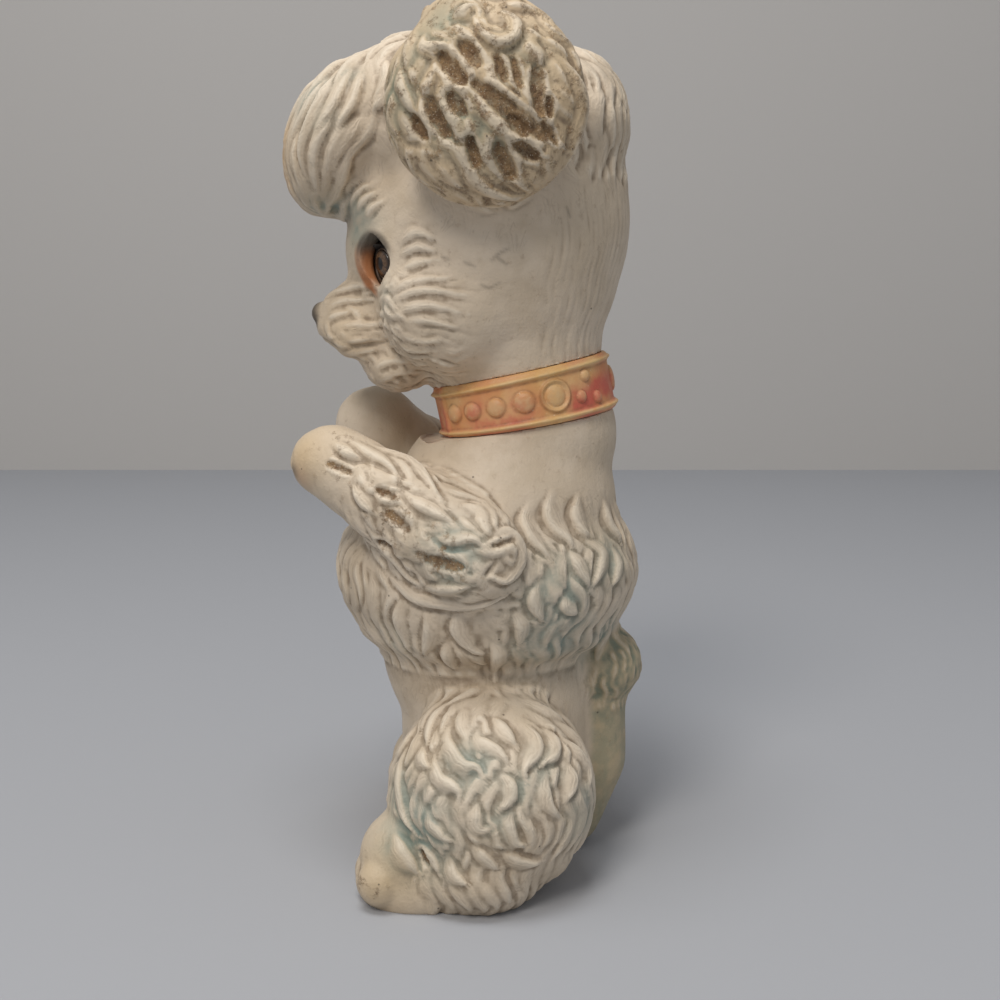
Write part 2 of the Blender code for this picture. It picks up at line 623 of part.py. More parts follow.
def make_collar():
    inner = SPIGOT_RADIUS + TOUCH
    outer = inner + COLLAR_WALL
    half = COLLAR_HEIGHT / 2
    ring = turned_mesh("collar", [
        (inner, half),
        (outer, half),
        (outer + COLLAR_WELT, half - WELT_HEIGHTS[0]),
        (outer + COLLAR_WELT, half - WELT_HEIGHTS[1]),
        (outer, half - WELT_HEIGHTS[2]),
        (outer, WELT_HEIGHTS[2] - half),
        (outer + COLLAR_WELT, WELT_HEIGHTS[1] - half),
        (outer + COLLAR_WELT, WELT_HEIGHTS[0] - half),
        (outer, -half),
        (inner, -half),
    ], 36)
    nape_growth(ring)
    collar = show("collar", ring, NECK, "collar_rubber")
    studs = bmesh.new()
    domes = [(angle, 0, size) for angle, size in zip(STUD_ANGLES_DEG, STUD_DIAMETERS)]
    domes += [(angle, height, SMALL_STUD_DIAMETER) for angle, height in SMALL_STUD_PLACES]
    for side in (1, -1):
        for angle, height, size in domes:
            centre = ring_place(side * angle, outer - STUD_SINK, height)
            turn = Matrix.Rotation(math.radians(side * angle), 4, "Z")
            radii = Matrix.Diagonal((size / 2, STUD_HEIGHT, size / 2, 1))
            bmesh.ops.create_uvsphere(studs, u_segments=8, v_segments=4, radius=1,
                                      matrix=Matrix.Translation(centre) @ turn @ radii)
        centre = ring_place(side * STRAP_END_ANGLE_DEG, outer, 0)
        turn = Matrix.Rotation(math.radians(side * STRAP_END_ANGLE_DEG), 4, "Z")
        size = Matrix.Diagonal((STRAP_END_WIDTH, STRAP_END_DEPTH, COLLAR_HEIGHT * STRAP_END_SHARE, 1))
        bmesh.ops.create_cube(studs, size=1, matrix=Matrix.Translation(centre) @ turn @ size)
    centre = ring_place(180, outer - STUD_SINK, 0)
    radii = Matrix.Diagonal((NAPE_STUD_DIAMETER / 2, STUD_HEIGHT, NAPE_STUD_DIAMETER / 2, 1))
    bmesh.ops.create_uvsphere(studs, u_segments=12, v_segments=8, radius=1,
                              matrix=Matrix.Translation(centre) @ radii)
    boolean(collar, show("collar_studs", mesh_of(studs, "collar_studs"), NECK), "UNION")
    return smooth_shade(collar)


# Head shell


def head_clay():
    clay = Clay()
    clay.lump(HEAD_CENTRE, CRANIUM_SIZE)
    neck_top = add(HEAD_CENTRE, NECK_TOP_FROM_HEAD)
    neck_foot = Vector(NECK_CENTRE) + NECK_AXIS * NECK_FLARE_RISE
    clay.limb(neck_foot, neck_top, NECK_FLARE_RADIUS, NECK_TOP_THICKNESS / 2)
    for offset, size in (
        (FACE_FROM_HEAD, FACE_SIZE),
        (JAW_FROM_HEAD, JAW_SIZE),
        (MUZZLE_FROM_HEAD, MUZZLE_SIZE),
        (CHIN_FROM_HEAD, CHIN_SIZE),
        (CROWN_FROM_HEAD, CROWN_SIZE),
        (NAPE_TUFT_FROM_HEAD, NAPE_TUFT_SIZE),
    ):
        clay.lump(add(HEAD_CENTRE, offset), size)
    clay.lump(add(HEAD_CENTRE, FORELOCK_FROM_HEAD), FORELOCK_SIZE, Matrix.Rotation(FORELOCK_LEAN, 4, "X"))
    for side in (1, -1):
        clay.lump(add(HEAD_CENTRE, CHEEK_FROM_HEAD, side), CHEEK_SIZE)
        clay.lump(add(HEAD_CENTRE, BROW_FROM_HEAD, side), BROW_SIZE)
        ear = add(HEAD_CENTRE, EAR_FROM_HEAD, side)
        clay.lump(ear, EAR_SIZE)
        clay.lump(add(ear, EAR_TOP_FROM_EAR, side), EAR_TOP_SIZE)
    return clay


def add_head_coat(clay):
    """Fur on the forelock, the back of the head and the ears."""
    lean = Matrix.Rotation(FORELOCK_LEAN, 4, "X")
    add_coat(clay, add(HEAD_CENTRE, FORELOCK_FROM_HEAD), FORELOCK_SIZE, turn=lean)
    add_coat(clay, add(HEAD_CENTRE, NAPE_TUFT_FROM_HEAD), NAPE_TUFT_SIZE)
    for side in (1, -1):
        add_coat(clay, add(HEAD_CENTRE, EAR_FROM_HEAD, side), EAR_SIZE, side)


def make_head_shell():
    skin = head_clay()
    add_head_coat(skin)
    skin.lump(add(add(HEAD_CENTRE, MUZZLE_FROM_HEAD), NOSE_FROM_MUZZLE), NOSE_SIZE)
    head = show("head_shell", skin.mesh("head_shell"), ROOT, "rubber")
    remesh(head, SKIN_VOXEL, 6)
    thin_out(head, HEAD_SKIN_TRIANGLES)
    hollow = show("head_hollow", head_clay().mesh("head_hollow", RUBBER_WALL), ROOT)
    remesh(hollow, CORE_VOXEL, 3)
    thin_out(hollow, HEAD_CORE_TRIANGLES)
    collar_top = COLLAR_HEIGHT / 2 * (1 + COLLAR_NAPE_GROWTH)
    under = collar_top + COLLAR_HEAD_GAP
    seat = SPIGOT_TOP + TOUCH
    below = rod_mesh("hollow_foot", BLOCK / 2, BLOCK, segments=24,
                     centre=(0, 0, under + HEAD_FOOT_WALL - BLOCK / 2))
    boolean(hollow, show("hollow_foot", below, NECK))
    for side, eye in EYES.items():
        pocket = turned_mesh(f"{side}_eye_pocket", arc_profile(
            0, EYE_CASE_RADIUS + TOUCH + EYE_POCKET_WALL, 0, EYE_POCKET_BACK_ANGLE), 24)
        boolean(hollow, show(f"{side}_eye_pocket", pocket, eye))
    sweep = under + HEAD_SWEEP
    underside = rod_mesh("head_underside", HEAD_UNDERSIDE_RADIUS, sweep, segments=36,
                         centre=(0, 0, under - sweep / 2))
    boolean(head, show("head_underside", underside, NECK))
    plug = turned_mesh("neck_plug", [
        (NECK_RADIUS, under + PLUG_SHOULDER),
        (NECK_RADIUS, seat),
        (PLUG_RADIUS, seat),
        (PLUG_RADIUS, BEAD_TOP),
        (BEAD_RADIUS, BEAD_TOP),
        (BEAD_RADIUS, BEAD_TOP - BEAD_HEIGHT * BEAD_FLAT),
        (PLUG_RADIUS, BEAD_TOP - BEAD_HEIGHT),
        (0, BEAD_TOP - BEAD_HEIGHT),
        (0, under + PLUG_SHOULDER),
    ], 36)
    boolean(head, show("neck_plug", plug, NECK), "UNION")
    boolean(head, hollow)
    bore = turned_mesh("plug_bore", [
        (NECK_RADIUS - PLUG_WALL, under + BORE_SHOULDER),
        (NECK_RADIUS - PLUG_WALL, seat + PLUG_WALL),
        (PLUG_RADIUS - PLUG_WALL, seat + PLUG_WALL),
        (PLUG_RADIUS - PLUG_WALL, BEAD_TOP - BEAD_HEIGHT - SPARE),
        (0, BEAD_TOP - BEAD_HEIGHT - SPARE),
        (0, under + BORE_SHOULDER),
    ], 36)
    boolean(head, show("plug_bore", bore, NECK))
    weld(head)
    throat = math.asin(EYE_THROAT_RADIUS / (EYE_CASE_RADIUS + TOUCH))
    for side, eye in EYES.items():
        profile = [(0, EYE_ORBIT_PROFILE[0][1] + SPARE)] + list(EYE_ORBIT_PROFILE)
        profile += arc_profile(0, EYE_CASE_RADIUS + TOUCH, throat, math.pi, 7)
        seat_cut = turned_mesh(f"{side}_eye_seat", profile, 22)
        for vertex in seat_cut.vertices:
            if vertex.co.z > (EYE_CASE_RADIUS + TOUCH) * math.cos(throat) - 0.1 * MM:
                vertex.co.y *= EYE_ORBIT_STRETCH
        boolean(head, show(f"{side}_eye_seat", seat_cut, eye))
    return head


# Sleep eyes: each eye is built about an empty whose Z axis looks out of the face and X is the roll axis


def arc_profile(inner, outer, start, end, steps=5):
    """A profile between two radii, for the angles from start to end off the local Z axis."""
    def arc(radius, first, last):
        angles = [first + (last - first) * step / steps for step in range(steps + 1)]
        return [(radius * math.sin(a) if abs(math.sin(a)) > 1e-9 else 0, radius * math.cos(a)) for a in angles]

    points = arc(outer, start, end)
    if inner > 0:
        return points + arc(inner, end, start)
    return points + ([] if points[-1][0] == 0 else [(0, points[-1][1])])


def arc_tube(bm, radius, thickness, angle, spread, segments=8, steps=6):
    """A tube bent over the ball, in the plane through the roll axis that is raised by the angle."""
    rings = []
    lift = Matrix.Rotation(-angle, 4, "X")
    for step in range(steps + 1):
        turn = lift @ Matrix.Rotation(spread * (2 * step / steps - 1) / 2, 4, "Y")
        ring = []
        for index in range(segments):
            around = 2 * math.pi * index / segments
            point = Vector((0, thickness * math.cos(around), radius + thickness * math.sin(around)))
            ring.append(bm.verts.new(turn @ point))
        rings.append(ring)
    for first, second in zip(rings, rings[1:]):
        for index in range(segments):
            after = (index + 1) % segments
            bm.faces.new((first[index], first[after], second[after], second[index]))
    bm.faces.new(rings[0])
    bm.faces.new(list(reversed(rings[-1])))


def make_eye(side, eye, sign):
    case_inner = EYE_BALL_RADIUS + EYE_RUNNING_GAP
    opening = math.asin(EYE_OPENING_RADIUS / case_inner)
    case = show(f"{side}_eye_case", turned_mesh(
        f"{side}_eye_case", arc_profile(case_inner, EYE_CASE_RADIUS, opening, EYE_CASE_BACK_ANGLE), 20),
        eye, "case_plastic")
    pin_hole = rod_mesh(f"{side}_pin_hole", EYE_PIN_RADIUS + TOUCH, PAST, "X", 12)
    pin_cut = show(f"{side}_pin_hole", pin_hole, eye)
    boolean(case, pin_cut)
    smooth_shade(case)

    pin_length = 2 * (EYE_CASE_RADIUS - EYE_PIN_SHORT)
    pin = show(f"{side}_eye_pin", rod_mesh(f"{side}_eye_pin", EYE_PIN_RADIUS, pin_length, "X", 12), eye, "steel")
    smooth_shade(pin)

    ball_mesh = bmesh.new()
    bmesh.ops.create_uvsphere(ball_mesh, u_segments=18, v_segments=10, radius=EYE_BALL_RADIUS)
    ball = show(f"{side}_eye_ball", mesh_of(ball_mesh, f"{side}_eye_ball"), eye, "eye_plastic")
    boolean(ball, pin_cut)

    iris_angle = math.asin(IRIS_RADIUS / EYE_BALL_RADIUS)
    droop = new_empty(f"{side}_iris_place", eye, turn=(IRIS_DROOP, 0, 0))
    floor = EYE_BALL_RADIUS * math.cos(iris_angle) - IRIS_DEPTH
    iris_profile = arc_profile(0, EYE_BALL_RADIUS, 0, iris_angle, 4)[:-1]
    iris_profile += [(IRIS_RADIUS, floor + TOUCH), (0, floor + TOUCH)]
    iris = show(f"{side}_eye_iris", turned_mesh(f"{side}_eye_iris", iris_profile, 20), droop, "iris_plastic")
    smooth_shade(iris)
    seat = rod_mesh(f"{side}_iris_seat", IRIS_RADIUS + TOUCH, PAST, segments=20,
                    centre=(0, 0, floor + PAST / 2))
    boolean(ball, show(f"{side}_iris_seat", seat, droop))

    hang = new_empty(f"{side}_weight_place", eye, turn=(math.pi - WEIGHT_ANGLE, 0, 0))
    stem_start = EYE_BALL_RADIUS - WEIGHT_STEM_SEAT
    stem_end = EYE_BALL_RADIUS + WEIGHT_STEM_LENGTH
    weight = show(f"{side}_eye_weight", turned_mesh(f"{side}_eye_weight", [
        (0, stem_end + WEIGHT_LENGTH),
        (WEIGHT_RADIUS, stem_end + WEIGHT_LENGTH),
        (WEIGHT_RADIUS, stem_end),
        (WEIGHT_STEM_RADIUS, stem_end),
        (WEIGHT_STEM_RADIUS, stem_start),
        (0, stem_start),
    ], 12), hang, "lead")
    smooth_shade(weight)
    stem_hole = rod_mesh(f"{side}_stem_hole", WEIGHT_STEM_RADIUS + TOUCH, PAST, segments=16,
                         centre=(0, 0, stem_start - TOUCH + PAST / 2))
    boolean(ball, show(f"{side}_stem_hole", stem_hole, hang))

    strip = bmesh.new()
    arc_tube(strip, EYE_BALL_RADIUS - LASH_SEAT_DEPTH, LASH_ROOT_RADIUS, LASH_ANGLE, LASH_SPREAD)
    lashes = show(f"{side}_eye_lashes", mesh_of(strip, f"{side}_eye_lashes"), eye, "lash_fibre")
    slot = bmesh.new()
    arc_tube(slot, EYE_BALL_RADIUS - LASH_SEAT_DEPTH, LASH_ROOT_RADIUS + TOUCH, LASH_ANGLE, LASH_SPREAD + 0.1)
    boolean(ball, show(f"{side}_lash_slot", mesh_of(slot, f"{side}_lash_slot"), eye))
    smooth_shade(ball)
    hairs = bmesh.new()
    lift = Matrix.Rotation(-LASH_ANGLE, 4, "X")
    for index in range(LASH_COUNT):
        along = (index / (LASH_COUNT - 1) - 0.5) * 0.94
        turn = lift @ Matrix.Rotation(LASH_SPREAD * along, 4, "Y")
        root = Matrix.Translation((0, 0, EYE_BALL_RADIUS - LASH_SEAT_DEPTH))
        reach = Matrix.Translation((0, 0, LASH_LENGTH / 2))
        bend = Matrix.Rotation(LASH_LIFT, 4, "X")
        bmesh.ops.create_cone(hairs, cap_ends=True, segments=5, radius1=LASH_ROOT_RADIUS * 0.7,
                              radius2=LASH_TIP_RADIUS, depth=LASH_LENGTH, matrix=turn @ root @ bend @ reach)
    boolean(lashes, show(f"{side}_lash_hairs", mesh_of(hairs, f"{side}_lash_hairs"), eye), "UNION")
    smooth_shade(lashes)


# Squeaker


def make_squeaker():
    place = new_empty("squeaker_place", ROOT, SQUEAKER_PLACE)
    flange_top = CAN_RECESS + CAN_FLANGE_THICKNESS
    groove_top = flange_top + CAN_GROOVE_HEIGHT
    bead_top = groove_top + CAN_BEAD_HEIGHT
    can_top = bead_top + CAN_TOP_HEIGHT
    shelf = can_top - CAN_CHAMBER
    can = show("squeaker_can", turned_mesh("squeaker_can", [
        (CAN_TOP_RADIUS, can_top),
        (CAN_TOP_RADIUS, bead_top),
        (CAN_BEAD_RADIUS, bead_top),
        (CAN_BEAD_RADIUS, groove_top),
        (CAN_GROOVE_RADIUS, groove_top),
        (CAN_GROOVE_RADIUS, flange_top),
        (CAN_FLANGE_RADIUS, flange_top),
        (CAN_FLANGE_RADIUS, CAN_RECESS),
        (VENT_RADIUS, CAN_RECESS),
        (VENT_RADIUS, CAN_RECESS + CAN_FLOOR),
        (CAN_SHELF_RADIUS, CAN_RECESS + CAN_FLOOR),
        (CAN_SHELF_RADIUS, shelf),
        (CAN_BORE_RADIUS, shelf),
        (CAN_BORE_RADIUS, can_top),
    ], 24), place, "steel")
    smooth_shade(can)

    plate_low = shelf + TOUCH
    plate_top = plate_low + PLATE_THICKNESS
    plate = show("reed_plate", rod_mesh("reed_plate", CAN_BORE_RADIUS - TOUCH, PLATE_THICKNESS, segments=24,
                                        centre=(0, 0, (plate_low + plate_top) / 2)), place, "brass")
    root_x = -REED_LENGTH / 2
    slot_length = REED_LENGTH - REED_ROOT + REED_SIDE_GAP
    slot_centre = (root_x + REED_ROOT + slot_length / 2, 0, plate_low)
    slot_size = (slot_length, REED_WIDTH + 2 * REED_SIDE_GAP, 10 * MM)
    boolean(plate, show("reed_slot", box_mesh("reed_slot", slot_size, slot_centre), place))

    reed_low = plate_top + TOUCH
    pivot = new_empty("reed_pivot", place, (root_x + REED_ROOT, 0, reed_low + REED_THICKNESS / 2))
    show("squeaker_reed", box_mesh("squeaker_reed", (REED_LENGTH, REED_WIDTH, REED_THICKNESS),
                                   (REED_LENGTH / 2 - REED_ROOT, 0, 0)), pivot, "brass")
    clamp_size = (REED_ROOT + TOUCH, REED_WIDTH + 2 * CLAMP_FOOT + 2 * TOUCH, CLAMP_THICKNESS)
    clamp_centre = (root_x + clamp_size[0] / 2 - TOUCH, 0, plate_top + TOUCH + CLAMP_THICKNESS / 2)
    clamp = show("reed_clamp", box_mesh("reed_clamp", clamp_size, clamp_centre), place, "steel")
    groove_size = (10 * MM, REED_WIDTH + 2 * TOUCH, 2 * (REED_THICKNESS + TOUCH))
    boolean(clamp, show("clamp_groove", box_mesh("clamp_groove", groove_size, (root_x, 0, reed_low)), place))

    skirt_inner = CAN_TOP_RADIUS + TOUCH
    cap_low = can_top + TOUCH
    cap = show("squeaker_cap", turned_mesh("squeaker_cap", [
        (skirt_inner + CAP_WALL, cap_low + CAP_WALL),
        (skirt_inner + CAP_WALL, cap_low - CAP_SKIRT),
        (skirt_inner, cap_low - CAP_SKIRT),
        (skirt_inner, cap_low),
        (CAP_HOLE_RADIUS, cap_low),
        (CAP_HOLE_RADIUS, cap_low + CAP_WALL),
    ], 24), place, "steel")
    smooth_shade(cap)


def centre_on_base():
    """Moves the toy so that the middle of its base is at the origin."""
    corners = []
    for obj in TOY.objects:
        if obj.type == "MESH":
            mesh = settled_mesh(obj)
            corners += [obj.matrix_world @ vertex.co for vertex in mesh.vertices]
            bpy.data.meshes.remove(mesh)
    low = [min(corner[axis] for corner in corners) for axis in range(3)]
    high = [max(corner[axis] for corner in corners) for axis in range(3)]
    ROOT.location = (-(low[0] + high[0]) / 2, -(low[1] + high[1]) / 2, -low[2])


clear_scene()
TOY = new_collection("poodle_squeak_toy")
CUTTERS = new_collection("cutters")
ROOT = new_empty("toy_origin")
NECK = new_empty("neck_pivot", ROOT, NECK_CENTRE, (NECK_LEAN, 0, 0))
EYES = {}
for side_name, side_sign in (("left", 1), ("right", -1)):
    eye_place = add(HEAD_CENTRE, EYE_FROM_HEAD, side_sign)
    EYES[side_name] = new_empty(f"{side_name}_eye_pivot", ROOT, eye_place,
                                (math.pi / 2, 0, side_sign * EYE_TURN))
make_body_shell()
make_head_shell()
make_collar()
for side_name, side_sign in (("left", 1), ("right", -1)):
    make_eye(side_name, EYES[side_name], side_sign)
make_squeaker()
centre_on_base()
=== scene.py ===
# %% [markdown]
# # A rubber squeak toy: the begging poodle
# The real toy is latex rubber, poured into a plaster or metal mould and drained, so it is a hollow skin with
# all its fur in relief. Cream rubber was airbrushed blue-green in the hollows of the fur, and the collar was
# painted yellow and red by hand. Decades of handling have left brown residue in the deepest pits.
#
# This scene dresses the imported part. It moulds the same swelling forms again at a much finer grain, presses
# locks of fur into them, and then paints them from what the relief itself says about hollows and ridges.

import json
import math

import bmesh
import bpy
import numpy as np
from mathutils import Matrix, Vector, noise
from mathutils.bvhtree import BVHTree
from mathutils.kdtree import KDTree

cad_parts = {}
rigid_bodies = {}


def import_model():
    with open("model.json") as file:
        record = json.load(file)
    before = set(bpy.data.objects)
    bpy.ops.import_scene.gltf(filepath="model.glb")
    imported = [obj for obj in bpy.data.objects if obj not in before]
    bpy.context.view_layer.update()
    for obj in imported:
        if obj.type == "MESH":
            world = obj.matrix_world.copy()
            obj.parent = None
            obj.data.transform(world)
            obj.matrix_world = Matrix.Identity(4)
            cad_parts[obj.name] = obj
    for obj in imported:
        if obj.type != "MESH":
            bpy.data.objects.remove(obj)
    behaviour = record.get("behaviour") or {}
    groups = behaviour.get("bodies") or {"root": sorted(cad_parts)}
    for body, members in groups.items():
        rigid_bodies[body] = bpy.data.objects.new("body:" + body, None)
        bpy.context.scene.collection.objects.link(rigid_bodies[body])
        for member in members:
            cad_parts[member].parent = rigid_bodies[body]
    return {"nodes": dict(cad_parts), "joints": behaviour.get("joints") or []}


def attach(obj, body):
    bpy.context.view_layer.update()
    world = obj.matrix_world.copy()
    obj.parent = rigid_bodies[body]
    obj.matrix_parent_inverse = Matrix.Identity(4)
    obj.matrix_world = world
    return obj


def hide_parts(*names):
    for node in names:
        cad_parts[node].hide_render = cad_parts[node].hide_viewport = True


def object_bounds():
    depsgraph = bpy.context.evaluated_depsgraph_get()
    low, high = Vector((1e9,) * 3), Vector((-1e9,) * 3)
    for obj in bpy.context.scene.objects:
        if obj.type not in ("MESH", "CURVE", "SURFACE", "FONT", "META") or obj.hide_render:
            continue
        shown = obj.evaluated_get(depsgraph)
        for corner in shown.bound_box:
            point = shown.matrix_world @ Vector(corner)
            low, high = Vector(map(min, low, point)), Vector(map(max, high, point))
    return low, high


MM = 0.001

for leftover in list(bpy.data.objects):
    bpy.data.objects.remove(leftover)
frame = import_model()
box_at_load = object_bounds()
rng = np.random.default_rng(11)


def in_mm(lengths):
    """Lengths in metres as rounded millimetres, for the printed lines."""
    return [round(length / MM, 2) for length in lengths]


print("frame:", len(frame["nodes"]), "nodes, box in mm", in_mm(box_at_load[1] - box_at_load[0]))

# %% [markdown]
# ## Places
# All modelling is done in millimetres from the toy's own origin, in the middle of its seat. The toy faces -Y
# and its left side is +X. One shift, read from the neck joint, takes everything to the frame. Places and
# sizes are read off the photo through its camera, and those that it doesn't show are guessed.

# %% Places and units
NECK = Vector((0, 7.4, 144))
NECK_LEAN = math.radians(12)
NECK_AXIS = Vector((0, -math.sin(NECK_LEAN), math.cos(NECK_LEAN)))
HEAD = NECK + Vector((0, -7.4, 52))
neck_joint = next(joint for joint in frame["joints"] if joint["name"] == "neck_swivel")
ORIGIN = Vector(neck_joint["pos_m"]) - NECK * MM
# the toy's left side is 1 and its right side is -1
BOTH_SIDES = (1, -1)
NEAR_SIDE = (1,)
print("toy origin in the frame, in mm:", in_mm(ORIGIN))


def side_of(place, side):
    """A place with its sideways part mirrored for the right side."""
    return Vector((place[0] * side, place[1], place[2]))


# %% [markdown]
# ## The camera
# The photo was taken close to the toy's left side and a little above its middle, looking slightly down. The
# camera comes before the modelling, because the locks that matter most are drawn along lines seen in the
# photo, and a ray through a photo pixel finds where such a line lies on the skin.

# %% Camera and photo rays
PHOTO_PIXELS = 1000
CAMERA_PLACE = Vector((400, 0, 173))
CAMERA_DROP = math.radians(8.75)
LENS = 46.8
SENSOR = 36.0


def link(name, data):
    """An object of a mesh, a lamp or a camera, linked to the scene."""
    obj = bpy.data.objects.new(name, data)
    bpy.context.scene.collection.objects.link(obj)
    return obj


camera = link("camera", bpy.data.cameras.new("camera"))
bpy.context.scene.camera = camera
camera.data.lens = LENS
camera.data.sensor_width = SENSOR
camera.location = ORIGIN + CAMERA_PLACE * MM
camera.rotation_euler = (math.pi / 2 - CAMERA_DROP, 0, math.pi / 2)
camera.data.clip_start = 0.01
camera.data.clip_end = 20
print("camera at, in mm:", in_mm(camera.location))


def photo_ray(pixel):
    """The direction, in the toy's axes, of the ray through a photo pixel."""
    focal = LENS / SENSOR * PHOTO_PIXELS
    right = (pixel[0] - PHOTO_PIXELS / 2) / focal
    up = -(pixel[1] - PHOTO_PIXELS / 2) / focal
    forward = Vector((-math.cos(CAMERA_DROP), 0, -math.sin(CAMERA_DROP)))
    above = Vector((-math.sin(CAMERA_DROP), 0, math.cos(CAMERA_DROP)))
    return (forward + Vector((0, 1, 0)) * right + above * up).normalized()


# %% [markdown]
# ## The swelling forms
# A sculptor blocks out such a toy in clay: balls and tapered rolls pressed together. Here each ball is a
# sphere primitive stretched to its size and each roll is a cone with round ends. A Remesh modifier fuses them
# into one skin and a Smooth modifier rounds the seams, which is much quicker to change than a box-modelled
# animal and gives even, square faces for the relief.

# %% Clay
SKIN_VOXEL = 0.68
SKIN_ROUNDS = 6
FORM_VOXEL = 2.2
SWELL = 0.8
THINNEST = 0.5


def ball_template():
    """A ball of radius 1. Copying it is much quicker than making a new sphere in a bmesh that has others."""
    bm = bmesh.new()
    bmesh.ops.create_uvsphere(bm, u_segments=48, v_segments=32, radius=1)
    mesh = bpy.data.meshes.new("ball")
    bm.to_mesh(mesh)
    bm.free()
    return mesh


BALL = ball_template()


class Clay:
    """Rounded forms that are fused into one skin. A shrunken copy of the same forms makes its hollow."""

    def __init__(self, shrink=0.0):
        self.bm = bmesh.new()
        self.shrink = shrink

    def ball(self, place, radii):
        mesh = BALL.copy()
        shrunk = [max(radius - self.shrink, THINNEST) for radius in radii]
        mesh.transform(place @ Matrix.Diagonal((*shrunk, 1)))
        self.bm.from_mesh(mesh)
        bpy.data.meshes.remove(mesh)

    def lump(self, centre, size, lean_deg=0.0):
        place = Matrix.Translation(centre) @ Matrix.Rotation(math.radians(lean_deg), 4, "X")
        self.ball(place, Vector(size) / 2)

    def limb(self, start, end, start_radius, end_radius):
        start, end = Vector(start), Vector(end)
        along = end - start
        turn = along.to_track_quat("Z", "Y").to_matrix().to_4x4()
        bmesh.ops.create_cone(self.bm, cap_ends=True, segments=48, radius1=start_radius - self.shrink,
                              radius2=end_radius - self.shrink, depth=along.length,
                              matrix=Matrix.Translation((start + end) / 2) @ turn)
        self.ball(Matrix.Translation(start), (start_radius,) * 3)
        self.ball(Matrix.Translation(end), (end_radius,) * 3)


def put(name, bm):
    """Makes an object of a bmesh and links it to the scene."""
    mesh = bpy.data.meshes.new(name)
    bmesh.ops.recalc_face_normals(bm, faces=bm.faces)
    bm.to_mesh(mesh)
    bm.free()
    return link(name, mesh)


def settled(obj, name):
    """The object's mesh with its modifiers applied. The object itself is removed."""
    graph = bpy.context.evaluated_depsgraph_get()
    mesh = bpy.data.meshes.new_from_object(obj.evaluated_get(graph))
    mesh.name = name
    bpy.data.objects.remove(obj)
    return mesh


def fuse(clay, name, voxel=SKIN_VOXEL, rounds=SKIN_ROUNDS):
    """One smooth skin over all of the clay's forms."""
    obj = put(name, clay.bm)
    remesh = obj.modifiers.new("fuse", "REMESH")
    remesh.mode = "VOXEL"
    remesh.voxel_size = voxel
    smooth = obj.modifiers.new("soften", "SMOOTH")
    smooth.factor = 0.5
    smooth.iterations = rounds
    return settled(obj, name)


def blend(clay, name, rounds):
    """The big forms fused coarsely first, so that they flow into each other as modelled clay does."""
    mesh = fuse(clay, name, FORM_VOXEL, rounds)
    blended = Clay(clay.shrink)
    blended.bm.from_mesh(mesh)
    bpy.data.meshes.remove(mesh)
    return blended


print("clay: a ball of", len(BALL.polygons), "faces, skins of", SKIN_VOXEL, "mm faces")

# %% [markdown]
# ### Body forms
# The loin and belly make the waist, two big haunches carry the hind pompons, and the ruff is the wide band of
# long fur round the chest. The left paw is held low and forward, the right one up beside the chin.

# %% Body clay
# a lump is its centre and its size
LOIN = ((0, -1, 40), (62, 59, 118))
BELLY = ((0, -10, 72), (60, 54, 80))
HAUNCH = Vector((33, -2.5, 29.5))
HAUNCH_SIZE = Vector((54, 59, 60.5))
HAUNCH_HEM = HAUNCH + Vector((5, -4.5, -18.5))
HAUNCH_HEM_SIZE = (42, 40, 29)
FOOT = HAUNCH + Vector((7, -25.5, -17))
FOOT_SIZE = (25, 25, 26)
HEEL_OFFSET = Vector((0, 5, -7))
HEEL_SIZE = (26, 38, 23)
TOE_SIZE = (10.5, 12, 13)
TOE_SPREAD = 8
TOE_DROP = 4.5
TOE_PROUD = 1.2
SIDE_TOE_BACK = 1.6
RUFF = Vector((0, -4, 91.5))
RUFF_SIZE = Vector((88, 92, 62))
RUFF_HEM_DROP = 17
RUFF_HEM_SIZE = Vector((76, 80, 22))
SHOULDER_FOOT = Vector((0, 1.5, 108))
SHOULDER_RADII = (25.4, 34.5)
SHOULDER_BELOW_NECK = 12
TAIL_ROOT = Vector((0, 23, 9))
TAIL_BEND = Vector((0, 31, 28))
TAIL_TIP = Vector((0, 30.5, 48))
TAIL_RADIUS = 8.75
TAIL_TUFT = TAIL_TIP + Vector((0, 1.5, 11.5))
TAIL_TUFT_SIZE = (25, 25, 23)
ELBOW_RADIUS, WRIST_RADIUS, PAW_RADIUS = 14.75, 12.5, 10.5
ARMS = {
    1: dict(elbow=Vector((38, -7.5, 101.5)), wrist=Vector((30, -32, 116.5)), paw=Vector((21, -49, 126)),
            paw_size=(21, 24, 20.5)),
    -1: dict(elbow=Vector((-38, -5, 103)), wrist=Vector((-36, -23, 120)), paw=Vector((-29, -40.5, 132)),
             paw_size=(24, 27, 25)),
}
FAR_FOOT_BACK = 3
BODY_BLEND_ROUNDS = 5


def foot_place(side):
    return side_of(FOOT, side) + Vector((0, 0 if side > 0 else FAR_FOOT_BACK, 0))


